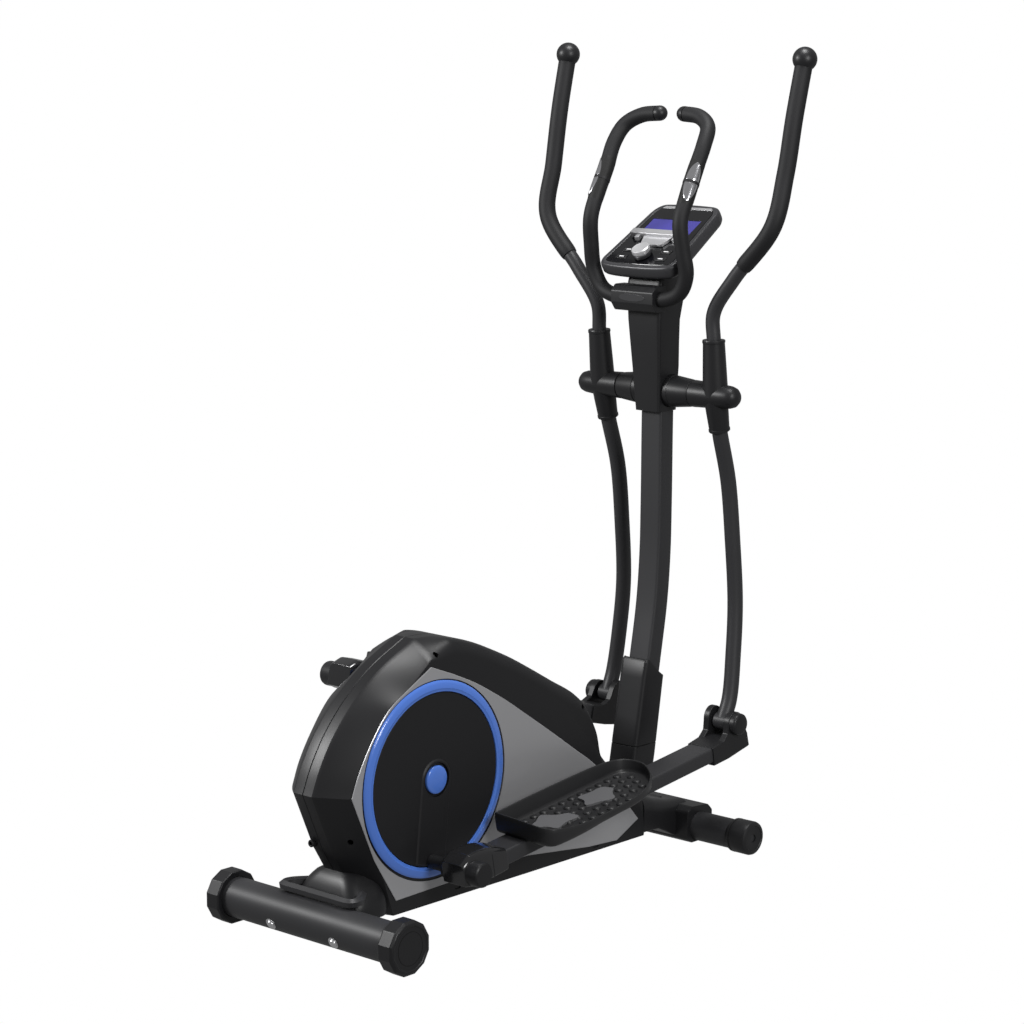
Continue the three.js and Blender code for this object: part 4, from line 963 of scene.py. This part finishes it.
def wedge(pin):
    """The raised crank shape, from an arch round the hub out to the pin."""
    centre = Vector(CRANK)
    along = (pin - centre).normalized()
    square = Vector((-along.y, along.x))
    arch, foot = HUB_CAP_RADIUS + 12, DISC_RADIUS - 1.5
    marks = [(-arch * math.sin(math.pi * k / 20), -arch * math.cos(math.pi * k / 20)) for k in range(21)]
    marks += [(math.sqrt(foot ** 2 - b ** 2), b) for b in (arch, 28, 14, 0, -14, -28, -arch)]
    outline = [tuple(centre + along * a + square * b) for a, b in marks]
    inner = inset_loop(outline, 3.0)
    return loft([[(x, y, z) for x, z in ring] for y, ring in (
        (DISC_FACE - 3.2, outline), (DISC_FACE - 2.4, outline), (DISC_FACE - 0.05, inner),
    )])


# ---- swing arms, about their own axis
UPPER_ARM = [
    (-5, ARM_Y, 50), (-5, ARM_Y, 110), (-6, 148, 165), (-5, 199, 237), (5, 284, 339), (37, 291, 439),
    (64, 292, 548), (97, 292, 658),
]
LOWER_ARM = [
    (8, ARM_Y, -40), (12.8, ARM_Y, -72), (38.7, 148, -176), (49, 151, -302), (52, 155, -427), (39, 160, -530),
    (20, BAR_Y, -620), (0, BAR_Y, 2 - ARM_RADIUS),
]


def linked_piece(kind, side, name, shape, slot, **more):
    """A piece on one side's swing arm or pedal bar, drawn about that body's own axis."""
    arm_place, bar_place = PLACES[side]
    place = arm_place if kind == "swing_arm" else bar_place
    return new_piece(f"{name}_{side}_v", shape, slot, f"{kind}_{side}", place=place, hand=SIDES[side], **more)


def arm_clamp(marks):
    """A tapered round clamp from marks of x, z and radius in the arm's plane."""
    line = [Vector((x, ARM_Y, z)) for x, z, radius in marks]
    return sweep(line, [radius for x, z, radius in marks], 48)


def swing_arms():
    upper = smooth_line(UPPER_ARM, 12)
    lower = smooth_line(LOWER_ARM, 12)
    hub = ring_of([
        (18.3, 94), (26.2, 94), (27, 95), (27, 99), (25.5, 138), (23.6, 172), (22.4, 186), (19.6, 195),
        (14.5, 200.6), (8, 203.8), (0.05, 204.8), (0.05, 192.6), (18.3, 192.6),
    ], 72)
    socket = arm_clamp([
        (0, 0, 25.6), (-2.4, 54, 23.8), (-4.7, 106, 21.9), (-4.8, 107, 22.9), (-5, 111, 22.9),
        (-5, 112.4, 22.0),
    ])
    stub = arm_clamp([
        (0, 0, 24), (6.2, -35, 22.4), (11.7, -66, 20.6), (11.9, -67, 21.6), (12.6, -71, 21.6),
        (12.8, -72, 20.8),
    ])
    bushing = turned([
        (0, BAR_Y - 15), (16.2, BAR_Y - 15), (17.3, BAR_Y - 14), (17.3, BAR_Y + 14), (16.2, BAR_Y + 15),
        (0, BAR_Y + 15),
    ], 48)
    pin_room = shifted(rod(PIVOT_PIN_RADIUS + 0.3, 130, 200, 32), z=-ARM_RADIUS)
    spindle_room = rod(SPINDLE_RADIUS + 0.5, 80, 192.6, 48)
    low_tube = sweep(lower, LOW_TUBE_RADIUS, 36)
    high_tube = sweep(upper, HIGH_TUBE_RADIUS, 36)
    grip_line = stretch(upper, 0.352, 0.985, 60)
    grip_radii = [ARM_GRIP_RADIUS] * len(grip_line)
    grip_radii[0], grip_radii[1] = ARM_GRIP_RADIUS - 1.2, ARM_GRIP_RADIUS - 0.2
    grip = sweep(grip_line, grip_radii, 40)
    for side in SIDES:
        def part(name, shape, slot, **more):
            return linked_piece("swing_arm", side, name, shape, slot, **more)

        part("arm_hub", hub, "dark_plastic")
        part("arm_socket", socket, "dark_plastic", cuts=[spindle_room], crease=24)
        part("arm_stub", stub, "dark_plastic", cuts=[spindle_room], crease=24)
        part("arm_low_tube", low_tube, "frame_paint", nodes=[f"swing_arm_{side}"],
             cuts=[spindle_room, pin_room])
        part("arm_bushing", shifted(bushing, z=-ARM_RADIUS), "frame_paint", cuts=[pin_room])
        part("arm_tube", high_tube, "frame_paint", nodes=[f"arm_tube_{side}"])
        part("arm_grip", grip, "grip_foam", nodes=[f"arm_grip_{side}"])
        part("arm_ball", ball(UPPER_ARM[-1], BALL_RADIUS), "dark_plastic")


# ---- pedal bars, from the crank pin forward
def along_bar(shape):
    return moved(shape, Matrix.Translation((0, 0, BAR_TOP)) @ Matrix.Rotation(BAR_SLOPE, 4, "Y"))


def pedal_bars():
    section = rounded(rectangle(-30, 30, -30, 0), 5, 5)
    tube = loft([[(x, BAR_Y + a, b) for a, b in section] for x in (26, BAR_LENGTH - 32.6)])
    for side in SIDES:
        def part(name, shape, slot, **more):
            return linked_piece("pedal_bar", side, name, shape, slot, **more)

        part("pedal_bar", along_bar(tube), "frame_paint", nodes=[f"pedal_bar_{side}"])
        crank_housing(part, side)
        fork_bracket(part, side)
        pedal(part, side)


def cross_ring(x, y0, y1, z0, z1, c):
    """A rectangle across the bar with small lower corners and wide upper ones."""
    return [(x, y, z) for y, z in rounded(rectangle(y0, y1, z0, z1), [3, 3, c * 1.1, c * 1.1], 6)]


def crank_housing(part, side):
    start = DISC_FACE + 1.1
    barrel = turned([
        (0, start), (12.4, start), (13.4, start + 0.8), (13.4, 127.6), (20.8, 128), (22, 128.6),
        (23.9, 130.6), (23.9, 215), (22.8, 218.2), (20.4, 220.4), (0, 220.8),
    ], 72)
    boot = loft([
        cross_ring(-25, 137, 193, -19, 23, 11), cross_ring(-21, 135.6, 194.4, -20, 26, 12),
        cross_ring(-3, 134, 196, -25, 36, 14), cross_ring(19, 133.4, 196.6, -26.5, 35.4, 16),
        cross_ring(43, 133, 197, -27.6, 31.6, 15), cross_ring(67, 133, 197, -28.6, 22.4, 10),
        cross_ring(88, 133.4, 196.6, -28.6, 13, 6),
    ])
    seam = loft([cross_ring(x, 132.8, 197.2, -27.9, 29.2, 15) for x in (48.6, 49.8)])
    part("crank_barrel", barrel, "dark_plastic", nodes=[f"crank_housing_{side}"], crease=26)
    part("crank_boot", boot, "dark_plastic", bevel=1.2, look=BOOT_GLOSS)
    # The boot's seam is a near-black band: painted shade in the joint gap
    part("boot_seam", seam, "black_plastic", look=PAINTED_GAP_SHADE)


def fork_bracket(part, side):
    end = BAR_LENGTH
    foot = loft([
        cross_ring(end - 78.6, 132.6, 197.4, -61.6, -24, 3),
        cross_ring(end - 32.6, 132.6, 197.4, -63.8, -22, 3),
        cross_ring(end + 34.4, 134.2, 195.8, -61.8, -28, 6),
    ])

    def ear(top):
        outline = [(end - 55.6, -30), (end - 28.6, -12)]
        for i in range(25):
            turn = math.pi * (0.95 - i / 24 * 0.95)
            outline.append((end + 23.8 * math.cos(turn), 2 + top * math.sin(turn)))
        return outline + [(end + 33.4, -34), (end + 35, -60), (end - 55.6, -61.8)]

    sweep_room = shifted(rod(27, 147.2, 182.8, 48), end)
    knob = turned([
        (0, 197), (22.3, 197), (22.3, 206), (21.6, 208.6), (19.4, 211), (16, 211.8), (0, 211.9),
    ], 64)
    part("fork_foot", foot, "dark_plastic", nodes=[f"fork_bracket_{side}"], bevel=1.5, cuts=[sweep_room])
    part("fork_inner_ear", side_plate(ear(27.8), 132.7, 146.6), "dark_plastic", bevel=1.8, crease=40)
    part("fork_outer_ear", side_plate(ear(21.8), 183.4, 197.3), "dark_plastic", bevel=1.8, crease=40)
    part("fork_knob", shifted(knob, end), "dark_plastic", crease=40)
    part("fork_pin", shifted(rod(PIVOT_PIN_RADIUS, 134, 198, 32), end), "bare_steel")


# Distance along the bar and outward from the pedal's inner edge, and the rim's height above the bar.
PEDAL_OUTLINE = [
    (0, 0, 42), (-4, 70, 40), (-8, 130, 38), (2, 146, 36), (34, 151.8, 30), (90, 151.8, 22), (145, 147, 18),
    (193, 145, 17), (240, 143, 18), (285, 134, 20), (325, 113, 23), (354, 86, 26), (370, 56, 30),
    (369, 28, 32), (357, 9, 34), (332, 0, 36), (291, 0, 40), (219, 0, 42), (143, 0, 43), (65, 0, 43),
]


def pedal_loop():
    """The pedal's outline and rim height as one smooth closed line."""
    return smooth_line(PEDAL_OUTLINE + PEDAL_OUTLINE[:1], 5)[:-1]


def pedal(part, side):
    line = pedal_loop()
    loop = [(p.x, p.y) for p in line]
    rim = [p.z for p in line]

    def ring(inset, share, above):
        """The outline moved in, at a share of the rim's height plus a height above the bar."""
        places = zip(inset_loop(loop, inset), rim)
        return [(PEDAL_START + x, PEDAL_INNER + y, h * share + above) for (x, y), h in places]

    wall = loft([
        ring(5.5, 0, 0.8), ring(1.6, 0, 5), ring(0.7, 0, 10), ring(0.1, 0.6, 4), ring(0.1, 1, -2.2),
        ring(0.9, 1, -0.5), ring(2.2, 1, -0.05), ring(3.4, 1, -0.6), ring(4.2, 1, -2.4), ring(5.0, 0, 14),
        ring(6.4, 0, 9), ring(9.5, 0, 7.0),
    ])
    studs, patches = pedal_floor(loop)
    part("pedal", along_bar(wall), "pedal_plastic", nodes=[f"pedal_{side}"], crease=45)
    part("pedal_studs", along_bar(studs), "pedal_plastic", crease=50)
    part("pedal_patches", along_bar(patches), "pedal_plastic", look=PATCH_GREY, bevel=0.4)


def inside(loop, x, y, margin):
    """True if a point lies inside a closed outline, at least margin from it."""
    here = Vector((x, y))
    odd = False
    for a, b in zip(loop, loop[1:] + loop[:1]):
        edge = Vector(b) - Vector(a)
        t = min(max((here - Vector(a)).dot(edge) / max(edge.length_squared, 1e-9), 0.0), 1.0)
        if (Vector(a) + edge * t - here).length < margin:
            return False
        if (a[1] > y) != (b[1] > y) and x < (b[0] - a[0]) * (y - a[1]) / (b[1] - a[1]) + a[0]:
            odd = not odd
    return odd


# Each raised patch: its middle, its half length and half width, and how far its outline reaches in turn.
SPLASHES = [
    ((82, 72), 44, 34, (1.0, 1.25, 0.8, 1.1, 0.75, 1.2, 0.9, 1.15, 0.7)),
    ((222, 62), 44, 30, (1.1, 0.8, 1.2, 0.9, 1.15, 0.75, 1.1, 0.85, 1.2)),
]


def splash(centre, long, short, reaches):
    marks = []
    for i, reach in enumerate(reaches):
        turn = 2 * math.pi * i / len(reaches)
        x = centre[0] + long * reach * math.cos(turn)
        marks.append((x, centre[1] + short * reach * math.sin(turn), 0))
    line = smooth_line(marks + marks[:1], 6)[:-1]
    return [(p.x, p.y) for p in line]


def pedal_floor(loop):
    """The bumps in staggered rows and the two raised patches."""
    patches = [shifted(floor_plate(splash(*s), 7.0, 12.0), PEDAL_START, PEDAL_INNER) for s in SPLASHES]
    studs = []
    stud = turned_up([(0, 6.8), (8.6, 6.8), (8.2, 9.0), (6.6, 10.6), (3.4, 11.4), (0, 11.6)], 24)
    along, across = 27, 25
    for i in range(12):
        for j in range(5):
            x = 30 + along * i + (along / 2 if j % 2 else 0)
            y = 22 + across * j
            if inside(loop, x, y, 17):
                studs.append(shifted(stud, PEDAL_START + x, PEDAL_INNER + y))
    return together(*studs), together(*patches)


# ---- stage
def aimed(thing, way):
    """Points a camera or a lamp along way."""
    thing.rotation_mode = "QUATERNION"
    thing.rotation_quaternion = way.to_track_quat("-Z", "Y")
    bpy.context.scene.collection.objects.link(thing)


def studio():
    scene = bpy.context.scene
    camera = bpy.data.objects.new("camera", bpy.data.cameras.new("camera"))
    camera.data.lens = 102.37
    camera.data.sensor_width = 36.0
    camera.data.clip_end = 100.0
    camera.location = TO_ROW @ Vector((-3529.9, -3709.7, 1700.0))
    turn, down = math.radians(42.4), math.radians(9.92)
    aimed(camera, Vector((math.cos(turn) * math.cos(down), math.sin(turn) * math.cos(down), -math.sin(down))))
    scene.camera = camera
    backdrop()
    world = bpy.data.worlds.new("studio")
    world.use_nodes = True
    background = world.node_tree.nodes["Background"]
    background.inputs["Color"].default_value = (1.0, 1.0, 1.0, 1.0)
    background.inputs["Strength"].default_value = 0.3
    scene.world = world
    middle = Vector((0, 0, 0.7))
    lamps = (
        ("left", (-2.6, 2.2, 2.4), 1.0, 130), ("right", (-1.2, -4.0, 2.4), 1.4, 110),
        ("top", (0.2, -0.4, 3.8), 1.0, 90),
    )
    for name, place, size, power in lamps:
        lamp = bpy.data.objects.new(name, bpy.data.lights.new(name, "AREA"))
        lamp.data.size = size
        lamp.data.energy = power
        lamp.location = place
        aimed(lamp, middle - Vector(place))
    scene.view_settings.view_transform = "Standard"


def backdrop():
    """A white floor and sky that only the camera sees, so they neither light nor shade the machine."""
    white = material("white_backdrop", (0.0, 0.0, 0.0), 1.0, glow=1.0, shine=0.0)
    shapes = {"floor": box(-9000, 9000, -9000, 9000, -3, -0.6), "backdrop": ball((0, 0, 0), 20000)}
    for name, shape in shapes.items():
        sheet = plain_object(name, shape, TO_ROW)
        sheet.data.materials.append(white)
        sheet.visible_diffuse = False
        sheet.visible_glossy = False
        sheet.visible_transmission = False
        sheet.visible_shadow = False


# ---- assembly
paint_hidden_nodes()
rear_foot()
lift_handle()
neck_cover()
front_foot()
front_saddle()
mast()
mast_boot()
mast_cover()
clamp_cover()
crossbar_sleeves()
handlebar()
pulse_sensors()
console()
tablet_ledge()
console_knob()
console_buttons()
housing()
side_panels()
power_inlet()
crank_faces()
swing_arms()
pedal_bars()
studio()
